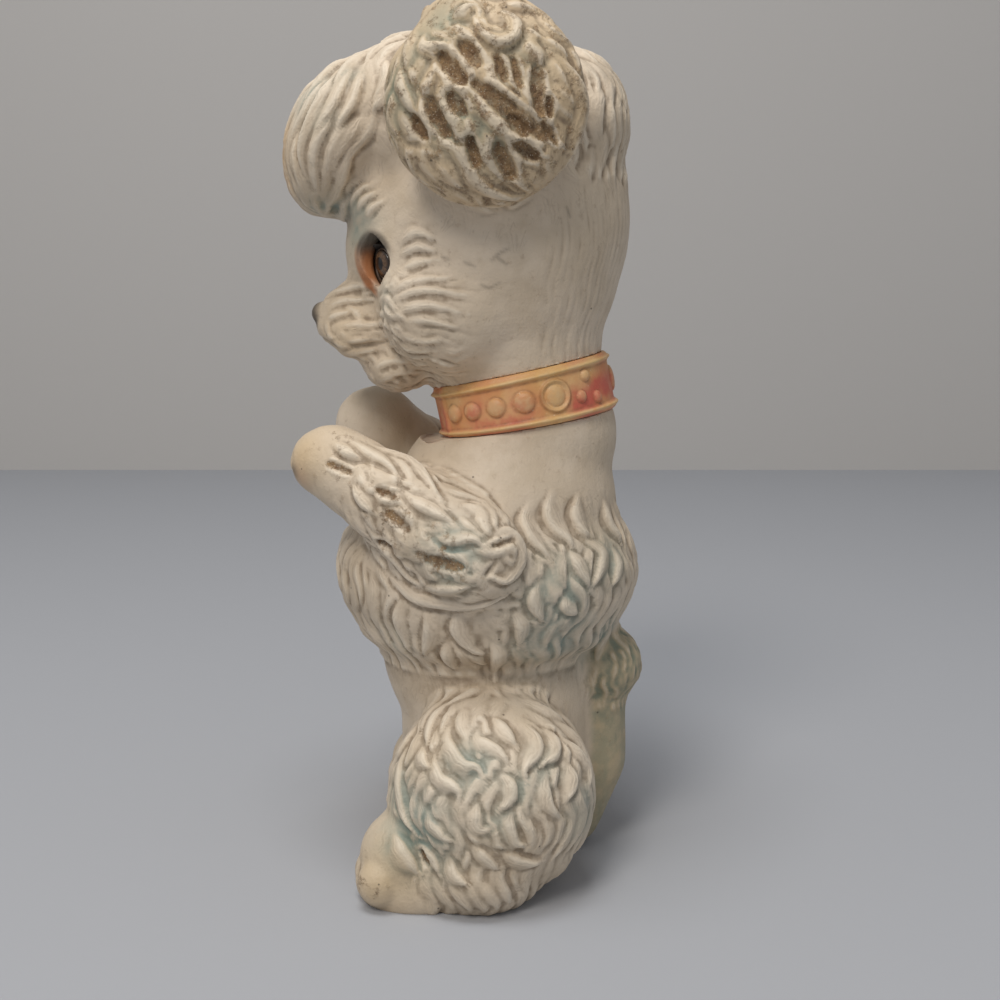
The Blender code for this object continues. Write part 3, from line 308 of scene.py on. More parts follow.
def body_clay(shrink=0.0):
    clay = Clay(shrink - SWELL)
    clay.lump(*LOIN)
    clay.lump(*BELLY)
    clay.lump(RUFF, RUFF_SIZE)
    clay.lump(RUFF + Vector((0, 0, -RUFF_HEM_DROP)), RUFF_HEM_SIZE)
    clay.limb(NECK - NECK_AXIS * SHOULDER_BELOW_NECK, SHOULDER_FOOT, *SHOULDER_RADII)
    for side in BOTH_SIDES:
        clay.lump(side_of(HAUNCH, side), HAUNCH_SIZE)
        clay.lump(side_of(HAUNCH_HEM, side), HAUNCH_HEM_SIZE)
        clay.lump(foot_place(side), FOOT_SIZE)
        clay.lump(foot_place(side) + HEEL_OFFSET, HEEL_SIZE)
        arm = ARMS[side]
        clay.limb(arm["elbow"], arm["wrist"], ELBOW_RADIUS, WRIST_RADIUS)
        clay.limb(arm["wrist"], arm["paw"], WRIST_RADIUS, PAW_RADIUS)
        clay.lump(arm["paw"], arm["paw_size"])
    clay.limb(TAIL_ROOT, TAIL_BEND, TAIL_RADIUS, TAIL_RADIUS)
    clay.limb(TAIL_BEND, TAIL_TIP, TAIL_RADIUS, TAIL_RADIUS)
    clay.lump(TAIL_TUFT, TAIL_TUFT_SIZE)
    clay = blend(clay, "body_form", BODY_BLEND_ROUNDS)
    if shrink:
        return clay
    for side in BOTH_SIDES:
        for toe in (-1, 0, 1):
            reach = (FOOT_SIZE[1] - TOE_SIZE[1]) / 2 + TOE_PROUD - SIDE_TOE_BACK * abs(toe)
            clay.lump(foot_place(side) + Vector((toe * TOE_SPREAD, -reach, -TOE_DROP)), TOE_SIZE)
    return clay


# %% [markdown]
# ### Head forms
# The cranium runs straight down into a thick neck. Muzzle, chin, cheeks and brow are small lumps on its
# front. The forelock hangs over the brow, and each ear is a round pompon beside the crown.

# %% Head clay
# places are offsets from the middle of the cranium, and a lump is its place and its size
CRANIUM_SIZE = (76, 77, 88)
NECK_ROLL = dict(above_neck=16, top=Vector((0, 1.5, -13)), radii=(26.5, 34))
FACE_LUMPS = [((0, -18, -8), (54, 56, 48)), ((0, -18, -33), (40, 32, 24))]
MUZZLE_ROLL = dict(root=Vector((0, -34, -29)), tip=Vector((0, -49.5, -30)), radii=(11, 6.6))
CHIN_AND_CROWN = [((0, -31, -43), (26, 19, 14.5)), ((0, -10, 30), (68, 80, 52)),
                  ((0, 17, 28), (64, 40.5, 44))]
# cheek, side of the muzzle, bridge of the muzzle and brow, once on each side
SIDE_LUMPS = [((18, -13, -25), (35, 42, 38)), ((6.5, -42, -32), (13, 20, 16)),
              ((3.5, -43, -25), (12, 21, 13)), ((11, -35, 4), (20, 16, 16))]
MUZZLE = HEAD + Vector((0, -42.5, -30))
NOSE = MUZZLE + Vector((0, -11.5, 3))
NOSE_SIZE = (7.5, 5, 5.5)
FORELOCK = HEAD + Vector((0, -45, 25.5))
FORELOCK_SIZE = Vector((55, 31, 49))
FORELOCK_LEAN_DEG = 30
EAR = HEAD + Vector((46, -4, 28.5))
EAR_SIZE = Vector((28, 52, 52))
EAR_TOP_OFFSET = Vector((-5, -2, 20))
EAR_TOP_SIZE = (26, 31, 18)
EYE = HEAD + Vector((15, -29.5, -12))
EYE_TURN = math.radians(35)
HEAD_BLEND_ROUNDS = 9


def head_clay(shrink=0.0):
    clay = Clay(shrink - SWELL)
    clay.lump(HEAD, CRANIUM_SIZE)
    clay.limb(NECK + NECK_AXIS * NECK_ROLL["above_neck"], HEAD + NECK_ROLL["top"], *NECK_ROLL["radii"])
    for offset, size in FACE_LUMPS:
        clay.lump(HEAD + Vector(offset), size)
    clay.limb(HEAD + MUZZLE_ROLL["root"], HEAD + MUZZLE_ROLL["tip"], *MUZZLE_ROLL["radii"])
    for offset, size in CHIN_AND_CROWN:
        clay.lump(HEAD + Vector(offset), size)
    clay.lump(FORELOCK, FORELOCK_SIZE, -FORELOCK_LEAN_DEG)
    for side in BOTH_SIDES:
        for offset, size in SIDE_LUMPS:
            clay.lump(HEAD + side_of(offset, side), size)
        ear = side_of(EAR, side)
        clay.lump(ear, EAR_SIZE)
        clay.lump(ear + side_of(EAR_TOP_OFFSET, side), EAR_TOP_SIZE)
    clay = blend(clay, "head_form", HEAD_BLEND_ROUNDS)
    if not shrink:
        clay.lump(NOSE, NOSE_SIZE)
    return clay


# %% [markdown]
# ## Cuts that the real shells have
# The neck opening, the squeaker's seat and the eye sockets are cut before the fur goes on, so that their rims
# stay clean. The cutters are spun profiles, and the Boolean modifiers use the Manifold solver, which copes
# with several hundred thousand faces in a second or two.

# %% Cutters
def spun(name, profile, steps=64):
    """A closed solid from a profile of (radius, height) points, spun about Z."""
    bm = bmesh.new()
    points = [bm.verts.new((radius, 0, height)) for radius, height in profile]
    edges = [bm.edges.new(pair) for pair in zip(points, points[1:])]
    bmesh.ops.spin(bm, geom=points + edges, cent=(0, 0, 0), axis=(0, 0, 1), angle=2 * math.pi, steps=steps,
                   use_merge=True)
    bmesh.ops.remove_doubles(bm, verts=bm.verts, dist=0.001)
    return put(name, bm)


def combine(mesh, name, *steps):
    """The mesh with solids taken out of it or added to it, in order. The solids are used up."""
    obj = link(name, mesh)
    for operation, other in steps:
        modifier = obj.modifiers.new(other.name, "BOOLEAN")
        modifier.operation = operation
        modifier.solver = "MANIFOLD"
        modifier.object = other
    made = settled(obj, name)
    for _, other in steps:
        bpy.data.objects.remove(other)
    return made


def arc(radius, start, end, steps=12):
    """Points on a circle about the origin, from one angle off the Z axis to another."""
    angles = [start + (end - start) * step / steps for step in range(steps + 1)]
    return [(radius * math.sin(angle), radius * math.cos(angle)) for angle in angles]


# %% [markdown]
# ## A skin that can be worked
# The relief isn't sculpted by moving points about. Each vertex of the skin carries a few numbers: how far the
# fur stands out there, how deep a groove runs there, how much residue, paint and stain it holds. Locks and
# pits add to those numbers, and only at the end does the skin move out along its normals.

# %% Skin
RELIEF_FIELDS = ("relief", "carve", "handled")
PAINT_FIELDS = ("grime", "airbrush", "stain", "dark", "warm", "strand", "comb")


def read(collection, name, width=1):
    values = np.zeros(len(collection) * width, np.float32)
    collection.foreach_get(name, values)
    return values.reshape(-1, width).astype(float) if width > 1 else values.astype(float)


def finder_of(points):
    """A tree that finds the points near a place."""
    finder = KDTree(len(points))
    for index, point in enumerate(points):
        finder.insert(point, index)
    finder.balance()
    return finder


class Skin:
    """A moulded skin in millimetres, with fields on its vertices and ways to find places on it."""

    def __init__(self, whole, mesh):
        self.mesh = mesh
        self.points = read(mesh.vertices, "co", 3)
        self.normals = read(mesh.vertices, "normal", 3)
        pairs = np.zeros(len(mesh.edges) * 2, np.int32)
        mesh.edges.foreach_get("vertices", pairs)
        self.pairs = pairs.reshape(-1, 2)
        holder = bmesh.new()
        holder.from_mesh(whole)
        self.tree = BVHTree.FromBMesh(holder)
        holder.free()
        self.finder = finder_of(self.points)
        for field in RELIEF_FIELDS + PAINT_FIELDS:
            setattr(self, field, np.zeros(len(self.points)))

    def snap(self, place):
        """The nearest place on the uncut skin, and the normal there."""
        point, normal, _, _ = self.tree.find_nearest(place)
        return point, normal

    def seen_at(self, pixel, side=1):
        """The place on the skin that a photo pixel shows, or its mirror image on the right side."""
        point, _, _, _ = self.tree.ray_cast(CAMERA_PLACE, photo_ray(pixel))
        if point is None:
            point = self.tree.find_nearest(CAMERA_PLACE + photo_ray(pixel) * CAMERA_PLACE.x)[0]
        return self.snap(side_of(point, side))[0] if side < 0 else point

    def near(self, places, reach):
        """Vertices within reach of any of the places."""
        found = set()
        for place in places:
            found.update(index for _, index, _ in self.finder.find_range(place, reach))
        return np.fromiter(found, int, len(found))

    def blur(self, values, rounds):
        """The values averaged with their neighbours' a number of times."""
        first, second = self.pairs[:, 0], self.pairs[:, 1]
        count = np.bincount(self.pairs.ravel(), minlength=len(values)) + 1.0
        for _ in range(rounds):
            total = values + np.bincount(first, values[second], len(values))
            total += np.bincount(second, values[first], len(values))
            values = total / count
        return values

    def lay(self, field, values):
        """Puts a field's new values in wherever they are higher than the old ones."""
        setattr(self, field, np.maximum(getattr(self, field), values))


# %% [markdown]
# ## Locks, pits and fine lines
# A lock of moulded fur is a ridge that follows the fur's flow. It starts thin, swells, and ends in a point
# that stands proud of the lock below, with a sharp groove along its edges. A pit is an almond-shaped hollow
# with a raised rim. Both are pressed along a path that walks over the skin a step at a time.

# %% Walking on the skin
STEP = 0.8
LEAP = 16


def tangent(vector, normal):
    flat = vector - normal * vector.dot(normal)
    return flat.normalized() if flat.length > 1e-6 else flat


def walk(skin, start, flow, length):
    """A path over the skin that follows a flow, as rows of place, heading and normal."""
    point, normal = skin.snap(start)
    rows = []
    for _ in range(int(length / STEP)):
        heading = tangent(flow(point, normal), normal)
        if heading.length < 0.5:
            break
        rows.append((*point, *heading, *normal))
        point, normal = skin.snap(point + heading * STEP)
    return np.array(rows)


def drawn(skin, pixels, side=1):
    """A path over the skin through photo pixels, smoothed between them.

    A pixel whose ray missed this limb and hit what lies behind it is left out.
    """
    knots = [skin.seen_at(pixel, side) for pixel in pixels]
    knots = [knot for knot in knots if abs(knot.x - knots[0].x) < LEAP]
    places = []
    for index in range(len(knots) - 1):
        before = knots[max(index - 1, 0)]
        start, end = knots[index], knots[index + 1]
        after = knots[min(index + 2, len(knots) - 1)]
        count = max(int((end - start).length / STEP), 1)
        for step in range(count):
            t = step / count
            bent = (start * 2 + (end - before) * t + (before * 2 - start * 5 + end * 4 - after) * t ** 2
                    + (start * 3 - before - end * 3 + after) * t ** 3) / 2
            places.append(bent)
    places.append(knots[-1])
    snapped = [skin.snap(place) for place in places]
    rows = []
    for index, (point, normal) in enumerate(snapped):
        ahead = snapped[min(index + 1, len(snapped) - 1)][0]
        behind = snapped[max(index - 1, 0)][0]
        rows.append((*point, *tangent(ahead - behind, normal), *normal))
    return np.array(rows)


# %% Pressing a lock or a pit
LOCK_SKIRT = 1.7
TIP_NARROWING = 0.85
CARVE_KEPT_UNDER_LOCK = 0.35
STRAND_SHIFT = 9
PIT_REACH = 1.1
PIT_FLOOR_SPREAD = (0.55, 1.2)


def local(skin, path, reach):
    """The vertices near a path, with their share of the way along it and their distance to its side."""
    picks = skin.near(path[::2, :3], reach + STEP)
    if len(picks) == 0:
        return picks, None, None
    points = skin.points[picks]
    gap = np.linalg.norm(points[:, None, :] - path[None, :, :3], axis=2)
    nearest = gap.argmin(axis=1)
    rows = path[nearest]
    offset = points - rows[:, :3]
    along = (offset * rows[:, 3:6]).sum(1)
    sideways = np.cross(rows[:, 6:9], rows[:, 3:6])
    across = (offset * sideways).sum(1)
    facing = (skin.normals[picks] * rows[:, 6:9]).sum(1) > 0.25
    level = np.abs((offset * rows[:, 6:9]).sum(1)) < reach
    share = (nearest * STEP + along) / (len(path) * STEP)
    keep = facing & level & (share > -0.08) & (share < 1.08)
    return picks[keep], np.clip(share[keep], 0, 1), across[keep]


def ease(value, low, high):
    """Rises smoothly from 0 at low to 1 at high."""
    t = np.clip((value - low) / (high - low), 0, 1)
    return t * t * (3 - 2 * t)


def press_lock(skin, path, width, height, tip=0.45, groove=0.3, root=0.3, clear=1.0, crisp=0):
    """Presses one lock, which slopes off gently on one side and drops sharply on the other.

    Where it stands higher than what is there, it takes over. Clear is the share of the old relief that stays
    under it, and crisp is the side of the sharp edge, 1 or -1, or 0 for either.
    """
    if len(path) < 4:
        return
    picks, share, across = local(skin, path, width / 2 * LOCK_SKIRT)
    if len(picks) == 0:
        return
    sharp = crisp or rng.choice((-1, 1))
    from_root = root + (1 - root) * ease(share, 0, 0.4)
    half = width / 2 * from_root * (1 - TIP_NARROWING * ease(share, 1 - tip, 1.0))
    side = across * sharp / np.maximum(half, 0.05)
    core = np.abs(side) < 1.1
    skin.relief[picks[core]] *= clear
    rise = height * ease(share, -0.02, 0.45) * (1 - 0.4 * ease(share, 0.8, 1.0))
    ridge = rise * ease(side, -LOCK_SKIRT, 0.15) * (1 - ease(side, 0.45, 1.0))
    wins = ridge > skin.relief[picks]
    skin.relief[picks[wins]] = ridge[wins]
    skin.carve[picks[wins]] *= CARVE_KEPT_UNDER_LOCK
    skin.strand[picks[wins]] = (side * width / 2)[wins] + rng.uniform(0, STRAND_SHIFT)
    in_lock = ((1 - ease(np.abs(side + 0.2), 0.85, 1.25)) * ease(share, 0.03, 0.25)
               * (1 - ease(share, 0.8, 0.98)))
    skin.comb[picks[wins]] = in_lock[wins]
    depth = groove * height * (1 - np.abs((side - 1.2) / 0.45)) * ease(share, 0.1, 0.35)
    edge = (side > 0.8) & (depth > 0)
    edges = picks[edge]
    skin.carve[edges] = np.maximum(skin.carve[edges], depth[edge])


def score(skin, path, width, depth):
    """Scores one fine line that fades out at both ends."""
    if len(path) < 4:
        return
    picks, share, across = local(skin, path, width)
    if len(picks) == 0:
        return
    line = depth * np.clip(1 - (across / (width / 2)) ** 2, 0, 1) * np.sin(np.pi * share)
    skin.carve[picks] = np.maximum(skin.carve[picks], line)


def press_pit(skin, path, width, depth, rim=0.5, residue=1.0):
    """Presses one almond-shaped hollow with a raised rim, and leaves residue in it."""
    if len(path) < 3:
        return
    picks, share, across = local(skin, path, width * PIT_REACH)
    if len(picks) == 0:
        return
    taper = np.sqrt(np.clip(1 - (2 * share - 1) ** 2, 0.0, 1)) * 0.92 + 0.08
    ratio = np.abs(across) / (width / 2 * taper)
    inside = ratio < 1
    rough = rng.uniform(*PIT_FLOOR_SPREAD, len(picks))
    floor = -depth * (1 - ratio ** 2) * ease(taper, 0.1, 0.6) * rough
    old = skin.relief[picks]
    skin.relief[picks[inside]] = np.minimum(old[inside], 0.2) + floor[inside]
    skin.carve[picks[inside]] *= 0.3
    edge = (ratio >= 0.9) & (ratio < 1.7)
    lift = rim * np.clip(1 - np.abs((ratio - 1.25) / 0.4), 0, 1) * ease(share, 0.02, 0.2)
    old = skin.relief[picks]
    skin.relief[picks[edge]] = np.maximum(old[edge], lift[edge] + old[edge] * 0.6)
    left = residue * (1 - ease(ratio, 0.3, 1.6)) * ease(taper, 0.1, 0.5)
    skin.grime[picks] = np.maximum(skin.grime[picks], left)


# %% [markdown]
# ## Fur that flows
# Most locks needn't be placed by hand. A region of fur has a flow, such as away from the crown of a pompon
# and down, with an S-shaped sway whose phase drifts slowly so that neighbours wave together. Seeds are thrown
# at random and kept where they aren't too close to one already there, measured along and across the flow.

# %% Growing fur
def grow(skin, weight, flow, length, width, height, spacing, tries=5000, press=press_lock, **lock):
    """Covers a region with locks. Weight is 0 to 1 on each vertex, and locks stand lower where it is low."""
    candidates = np.flatnonzero(weight > 0.15)
    if len(candidates) == 0:
        return 0
    picks = rng.permutation(candidates)[:tries]
    kept = np.zeros((0, 6))
    order = []
    for index in picks:
        point = skin.points[index]
        normal = Vector(skin.normals[index])
        if len(kept):
            gap = point - kept[:, :3]
            along = (gap * kept[:, 3:]).sum(1)
            across = np.sqrt(np.maximum((gap ** 2).sum(1) - along ** 2, 0))
            if ((along / spacing[0]) ** 2 + (across / spacing[1]) ** 2 < 1).any():
                continue
        heading = tangent(flow(Vector(point), normal), normal)
        if heading.length < 0.5:
            continue
        kept = np.vstack([kept, [*point, *heading]])
        order.append(index)
    for index in order:
        share = weight[index]
        path = walk(skin, Vector(skin.points[index]), flow, rng.uniform(*length) * (0.6 + 0.4 * share))
        press(skin, path, rng.uniform(*width), rng.uniform(*height) * share, **lock)
    return len(order)


def swayed(base, sway_deg, wave, drift=16.0, seed=0.0):
    """A flow that sways from side to side along its way."""
    sway = math.radians(sway_deg)

    def flow(point, normal):
        heading = tangent(base(point), normal)
        phase = noise.noise(point / drift + Vector((seed, seed, seed))) * 3.0
        travelled = point.z if abs(heading.z) > 0.5 else point.y
        angle = sway * math.sin(2 * math.pi * travelled / wave + phase)
        return Matrix.Rotation(angle, 3, normal) @ heading
    return flow


def away_from(pole, down):
    """A flow away from a pole and, in part, straight down."""
    def base(point):
        return (point - pole).normalized() + Vector((0, 0, -down))
    return base


def steady(direction):
    """A flow that keeps one direction all over."""
    direction = Vector(direction).normalized()
    return lambda point: direction


def straight(direction):
    """A flow for one line of its own, without any sway."""
    return swayed(steady(direction), 0, 10)


def within(points, centre, size, soft=0.25):
    """1 inside an ellipsoid and 0 outside it, with a soft edge."""
    ratio = np.linalg.norm((points - np.array(centre)) / (np.array(size) / 2), axis=1)
    return 1 - ease(ratio, 1 - soft, 1 + soft)


# %% [markdown]
# ## The body skin
# The body is cut where the collar sits, at the neck bore and at the squeaker's seat, and hollowed by the
# same forms shrunk by the wall. Then fur goes on region by region: ruff, sleeves, haunches, tail.

# %% Mould the body
WALL = 2.6
CORE_VOXEL = 2.8
CORE_ROUNDS = 3
TOUCH = 0.3
COLLAR_HALF = 7.75
COLLAR_INNER = 24.3
LEDGE_RADIUS = 34
SPIGOT_RADIUS = 24.0
SPIGOT_TOP = 3.5
BORE_RADIUS = 21.4
BORE_FOOT = -13
SEAT_PLACE = Matrix.Translation((0, -2, 0))
SEAT_PROFILE = [(0, 9), (9.1, 9), (9.1, 1.9), (11.5, 1.9), (11.5, -5), (0, -5)]
SEAT_BLOCK_RADIUS = 14
SEAT_BLOCK_TOP = 10
NECK_PLACE = Matrix.Translation(NECK) @ Matrix.Rotation(NECK_LEAN, 4, "X")
NAPE_GROWTH = 0.13
BLOCK = 300
CLEAR_OF_TOY = 25
HOLLOW_TOP = -8


def grow_at_nape(mesh):
    """The collar and what fits it are taller at the nape than at the throat."""
    for vertex in mesh.vertices:
        radius = max(math.hypot(vertex.co.x, vertex.co.y), 0.001)
        vertex.co.z *= 1 + NAPE_GROWTH * vertex.co.y / radius


def placed(obj, place):
    obj.data.transform(place)
    return obj


def block(name, centre):
    bm = bmesh.new()
    bmesh.ops.create_cube(bm, size=BLOCK, matrix=Matrix.Translation(centre))
    return put(name, bm)


def body_hollow():
    """The space inside the body, which keeps clear of the sole, the squeaker's seat and the spigot."""
    hollow = fuse(body_clay(WALL), "body_hollow", CORE_VOXEL, CORE_ROUNDS)
    sole = block("sole", (0, 0, WALL - BLOCK / 2))
    seat = spun("seat_block", [(0, SEAT_BLOCK_TOP), (SEAT_BLOCK_RADIUS, SEAT_BLOCK_TOP),
                               (SEAT_BLOCK_RADIUS, -5), (0, -5)])
    above = placed(block("above", (0, 0, HOLLOW_TOP + BLOCK / 2)), NECK_PLACE)
    made = combine(hollow, "body_hollow", ("DIFFERENCE", sole), ("DIFFERENCE", placed(seat, SEAT_PLACE)),
                   ("DIFFERENCE", above))
    return link("body_hollow", made)


def body_steps():
    """What is cut from the body: sole, collar's ledge, spigot's top, hollow, neck bore, squeaker's seat."""
    ledge_foot = -COLLAR_HALF - TOUCH
    ledge = spun("ledge", [(LEDGE_RADIUS, CLEAR_OF_TOY), (LEDGE_RADIUS, ledge_foot),
                           (SPIGOT_RADIUS, ledge_foot), (SPIGOT_RADIUS, CLEAR_OF_TOY),
                           (LEDGE_RADIUS, CLEAR_OF_TOY)])
    grow_at_nape(ledge.data)
    top = spun("top", [(0, SPIGOT_TOP + CLEAR_OF_TOY), (LEDGE_RADIUS, SPIGOT_TOP + CLEAR_OF_TOY),
                       (LEDGE_RADIUS, SPIGOT_TOP), (0, SPIGOT_TOP)])
    bore = spun("bore", [(0, SPIGOT_TOP + 5), (BORE_RADIUS, SPIGOT_TOP + 5), (BORE_RADIUS, BORE_FOOT),
                         (0, BORE_FOOT)])
    seat = spun("seat", SEAT_PROFILE)
    for piece in (ledge, top, bore):
        placed(piece, NECK_PLACE)
    placed(seat, SEAT_PLACE)
    floor = block("floor", (0, 0, -BLOCK / 2))
    return [("DIFFERENCE", solid) for solid in (floor, ledge, top, body_hollow(), bore, seat)]


body_whole = fuse(body_clay(), "body_whole")
body = Skin(body_whole, combine(body_whole.copy(), "body_skin", *body_steps()))
print("body skin:", len(body.points), "points")

# %% [markdown]
# ### Body fur
# Each pompon hangs from its top. On the haunches long S-shaped locks fall from the top centre and spread, on
# the ruff they fall from the shoulder to a hem of points, and on the sleeves they run from paw to elbow. The
# broad locks of this layer fill the ground between the ones that are drawn later.

# %% Body fur by region
x, y, z = body.points.T
mirrored = np.column_stack([np.abs(x), y, z])


def limb_distance(points, start, end):
    """The distance from a line between two places, and how far along it the nearest place is."""
    start, end = np.array(start), np.array(end)
    along = end - start
    share = np.clip(((points - start) @ along) / (along @ along), 0, 1)
    return np.linalg.norm(points - start - share[:, None] * along, axis=1), share


def sleeve_weight(arm):
    """1 on the fur of a foreleg, and 0 on its bare paw and away from it."""
    upper, _ = limb_distance(body.points, arm["elbow"], arm["wrist"])
    lower, share = limb_distance(body.points, arm["wrist"], arm["paw"])
    near = 1 - ease(np.minimum(upper - ELBOW_RADIUS, lower - 12), 0.5, 2.5)
    on_paw = ease(share, 0.35, 0.65) * (lower < upper)
    return near * (1 - on_paw)


# a region's ellipsoid is a little larger than the form it covers
sleeves = {side: sleeve_weight(ARMS[side]) for side in BOTH_SIDES}
any_sleeve = np.maximum(sleeves[1], sleeves[-1])
on_foot = ease(-y, 22, 26) * (1 - ease(z, 25, 31))
haunch = within(mirrored, HAUNCH, HAUNCH_SIZE * 1.07, 0.1)
haunch = np.maximum(haunch, within(mirrored, HAUNCH_HEM, (47, 45, 34), 0.12))
haunch = haunch * ease(mirrored[:, 0], 9, 15) * (1 - on_foot) * (1 - ease(z, 58, 62))
tail = within(body.points, TAIL_TUFT, (30, 30, 28), 0.25)
ruff_top = 113 + 10 * ease(y, -5, 18)
ruff = within(body.points, RUFF, RUFF_SIZE * 1.14, 0.1) * (1 - ease(z, ruff_top - 10, ruff_top + 2))
ruff *= ease(z, 62, 65) * (1 - any_sleeve) * (1 - tail) * ease(np.hypot(x, y + 4), 28, 33)

# lengths, widths and heights of locks from and to, and spacing along and across the flow, all in mm
BROAD = dict(width=(3.8, 6.2), height=(0.8, 1.5), spacing=(13, 3.2), groove=0.28)
RUFF_FUR = dict(length=(14, 24), **BROAD)
HAUNCH_FUR = dict(length=(15, 26), **BROAD)
SLEEVE_FUR = dict(length=(10, 18), width=(3.4, 5.2), height=(0.7, 1.3), spacing=(9, 3.0))
TAIL_FUR = dict(length=(6, 12), width=(2.0, 3.2), height=(0.45, 0.85), spacing=(4.5, 1.9))
RUFF_POLE = Vector((0, 0, 128))
HAUNCH_POLE = Vector((26, -3, 70))
TAIL_POLE = TAIL_TUFT + Vector((0, -3, 14))

counts = {}
ruff_flow = swayed(away_from(RUFF_POLE, 1.3), 30, 22, 34.0, seed=1.0)
counts["ruff"] = grow(body, ruff, ruff_flow, **RUFF_FUR)
for side in BOTH_SIDES:
    haunch_flow = swayed(away_from(side_of(HAUNCH_POLE, side), 0.8), 34, 22, 34.0, seed=3.0)
    counts[f"haunch {side}"] = grow(body, haunch * (x * side > 0), haunch_flow, **HAUNCH_FUR)
    down_arm = ARMS[side]["elbow"] - ARMS[side]["paw"] + Vector((0, 0, -6))
    sleeve_flow = swayed(steady(down_arm), 36, 17, 24.0, seed=5.0)
    counts[f"sleeve {side}"] = grow(body, sleeves[side], sleeve_flow, **SLEEVE_FUR)
tail_flow = swayed(away_from(TAIL_POLE, 0.6), 20, 9, seed=7.0)
counts["tail"] = grow(body, tail, tail_flow, **TAIL_FUR)

# the fur fades out where the coat is clipped
furry = np.clip(ruff * 3, 0, 1) + np.clip(haunch * 3, 0, 1) + any_sleeve * 2 + tail * 3
furry = np.clip(furry, 0, 1)
body.relief *= furry
body.carve *= furry
print("body locks:", counts)

# %% [markdown]
# ### Locks and pits drawn from the photo
# The locks that catch the eye are drawn along lines seen in the photo, as lists of photo pixels. A ray
# through each pixel finds its place on the skin. On the haunches and the ruff the same locks go on the other
# side, mirrored, as a sculptor works both flanks alike. The forelegs differ, so only the near one gets them.

# %% Drawn haunch and ruff locks
HAUNCH_LOCKS = [
    [(479, 724), (477, 739), (487, 747), (500, 754), (508, 764)],
    [(491, 716), (502, 730), (515, 745)],
    [(519, 718), (534, 737), (536, 751), (525, 768), (525, 781)],
    [(451, 720), (446, 739), (454, 756), (464, 766), (477, 768), (485, 781)],
    [(439, 747), (433, 760), (439, 779), (454, 787), (460, 794), (458, 802)],
    [(496, 773), (508, 783), (510, 798), (500, 810)],
    [(540, 726), (553, 739), (553, 754), (540, 766)],
    [(559, 735), (576, 752), (586, 768), (588, 789)],
    [(548, 768), (544, 789), (548, 806), (559, 817)],
    [(409, 741), (401, 760), (399, 785), (403, 810), (416, 832)],
    [(424, 743), (422, 760), (430, 768)],
    [(428, 806), (430, 823), (443, 836), (452, 840)],
    [(477, 798), (475, 819), (479, 829), (491, 829)],
    [(515, 806), (508, 823), (513, 840), (525, 846)],
    [(393, 832), (403, 853), (420, 874)],
    [(416, 842), (433, 859), (439, 872)],
    [(470, 842), (484, 858), (498, 868)],
    [(448, 852), (452, 872), (466, 884)],
    [(566, 760), (572, 780), (566, 800)],
    [(498, 850), (520, 862), (540, 862)],
]
RUFF_LOCKS = [
    [(532, 501), (525, 518), (530, 535), (542, 550), (549, 559)],
    [(554, 487), (549, 508), (554, 525), (568, 540), (571, 554)],
    [(580, 491), (576, 513), (585, 535), (595, 547)],
    [(568, 547), (578, 564), (588, 586)],
    [(580, 538), (602, 554), (592, 586)],
    [(566, 591), (566, 605), (576, 613)],
    [(459, 610), (457, 630), (471, 647), (484, 654)],
    [(513, 610), (522, 627), (518, 644)],
    [(401, 596), (399, 618), (406, 637), (411, 651)],
    [(425, 610), (430, 632), (425, 654)],
    [(604, 498), (608, 520), (620, 540)],
    [(612, 545), (618, 565), (612, 585)],
    [(540, 580), (534, 600), (542, 620)],
    [(490, 640), (498, 656), (494, 672)],
    [(446, 640), (448, 656), (456, 668)],
]
HAUNCH_LOCK = dict(width=5.6, height=1.9, clear=0.3)
RUFF_LOCK = dict(width=5.8, height=2.0, clear=0.3)
HEEL_PIT = [(421, 849), (428, 862)]
for side in BOTH_SIDES:
    for pixels in HAUNCH_LOCKS:
        press_lock(body, drawn(body, pixels, side), **HAUNCH_LOCK, crisp=side)
    for pixels in RUFF_LOCKS:
        press_lock(body, drawn(body, pixels, side), **RUFF_LOCK, crisp=-side)
    press_pit(body, drawn(body, HEEL_PIT, side), width=2.4, depth=1.2)
print("drawn on each side:", len(HAUNCH_LOCKS), "haunch locks,", len(RUFF_LOCKS), "ruff locks")

# %% Drawn foreleg locks and pits
SLEEVE_LOCKS = [
    [(332, 441), (350, 453), (370, 455), (372, 465)],
    [(364, 442), (388, 446), (408, 460), (427, 480), (441, 500)],
    [(346, 438), (364, 450), (382, 460), (397, 474)],
    [(360, 516), (372, 535), (389, 554), (406, 574), (421, 586)],
    [(377, 564), (394, 581), (416, 598), (450, 605), (486, 603), (513, 591)],
    [(430, 535), (450, 540), (471, 538), (486, 547)],
    [(488, 538), (508, 530), (520, 545), (520, 564), (505, 581), (486, 574)],
    [(352, 482), (362, 500), (372, 512)],
    [(402, 486), (414, 500), (432, 510), (452, 522)],
    [(420, 590), (446, 590), (470, 586)],
]
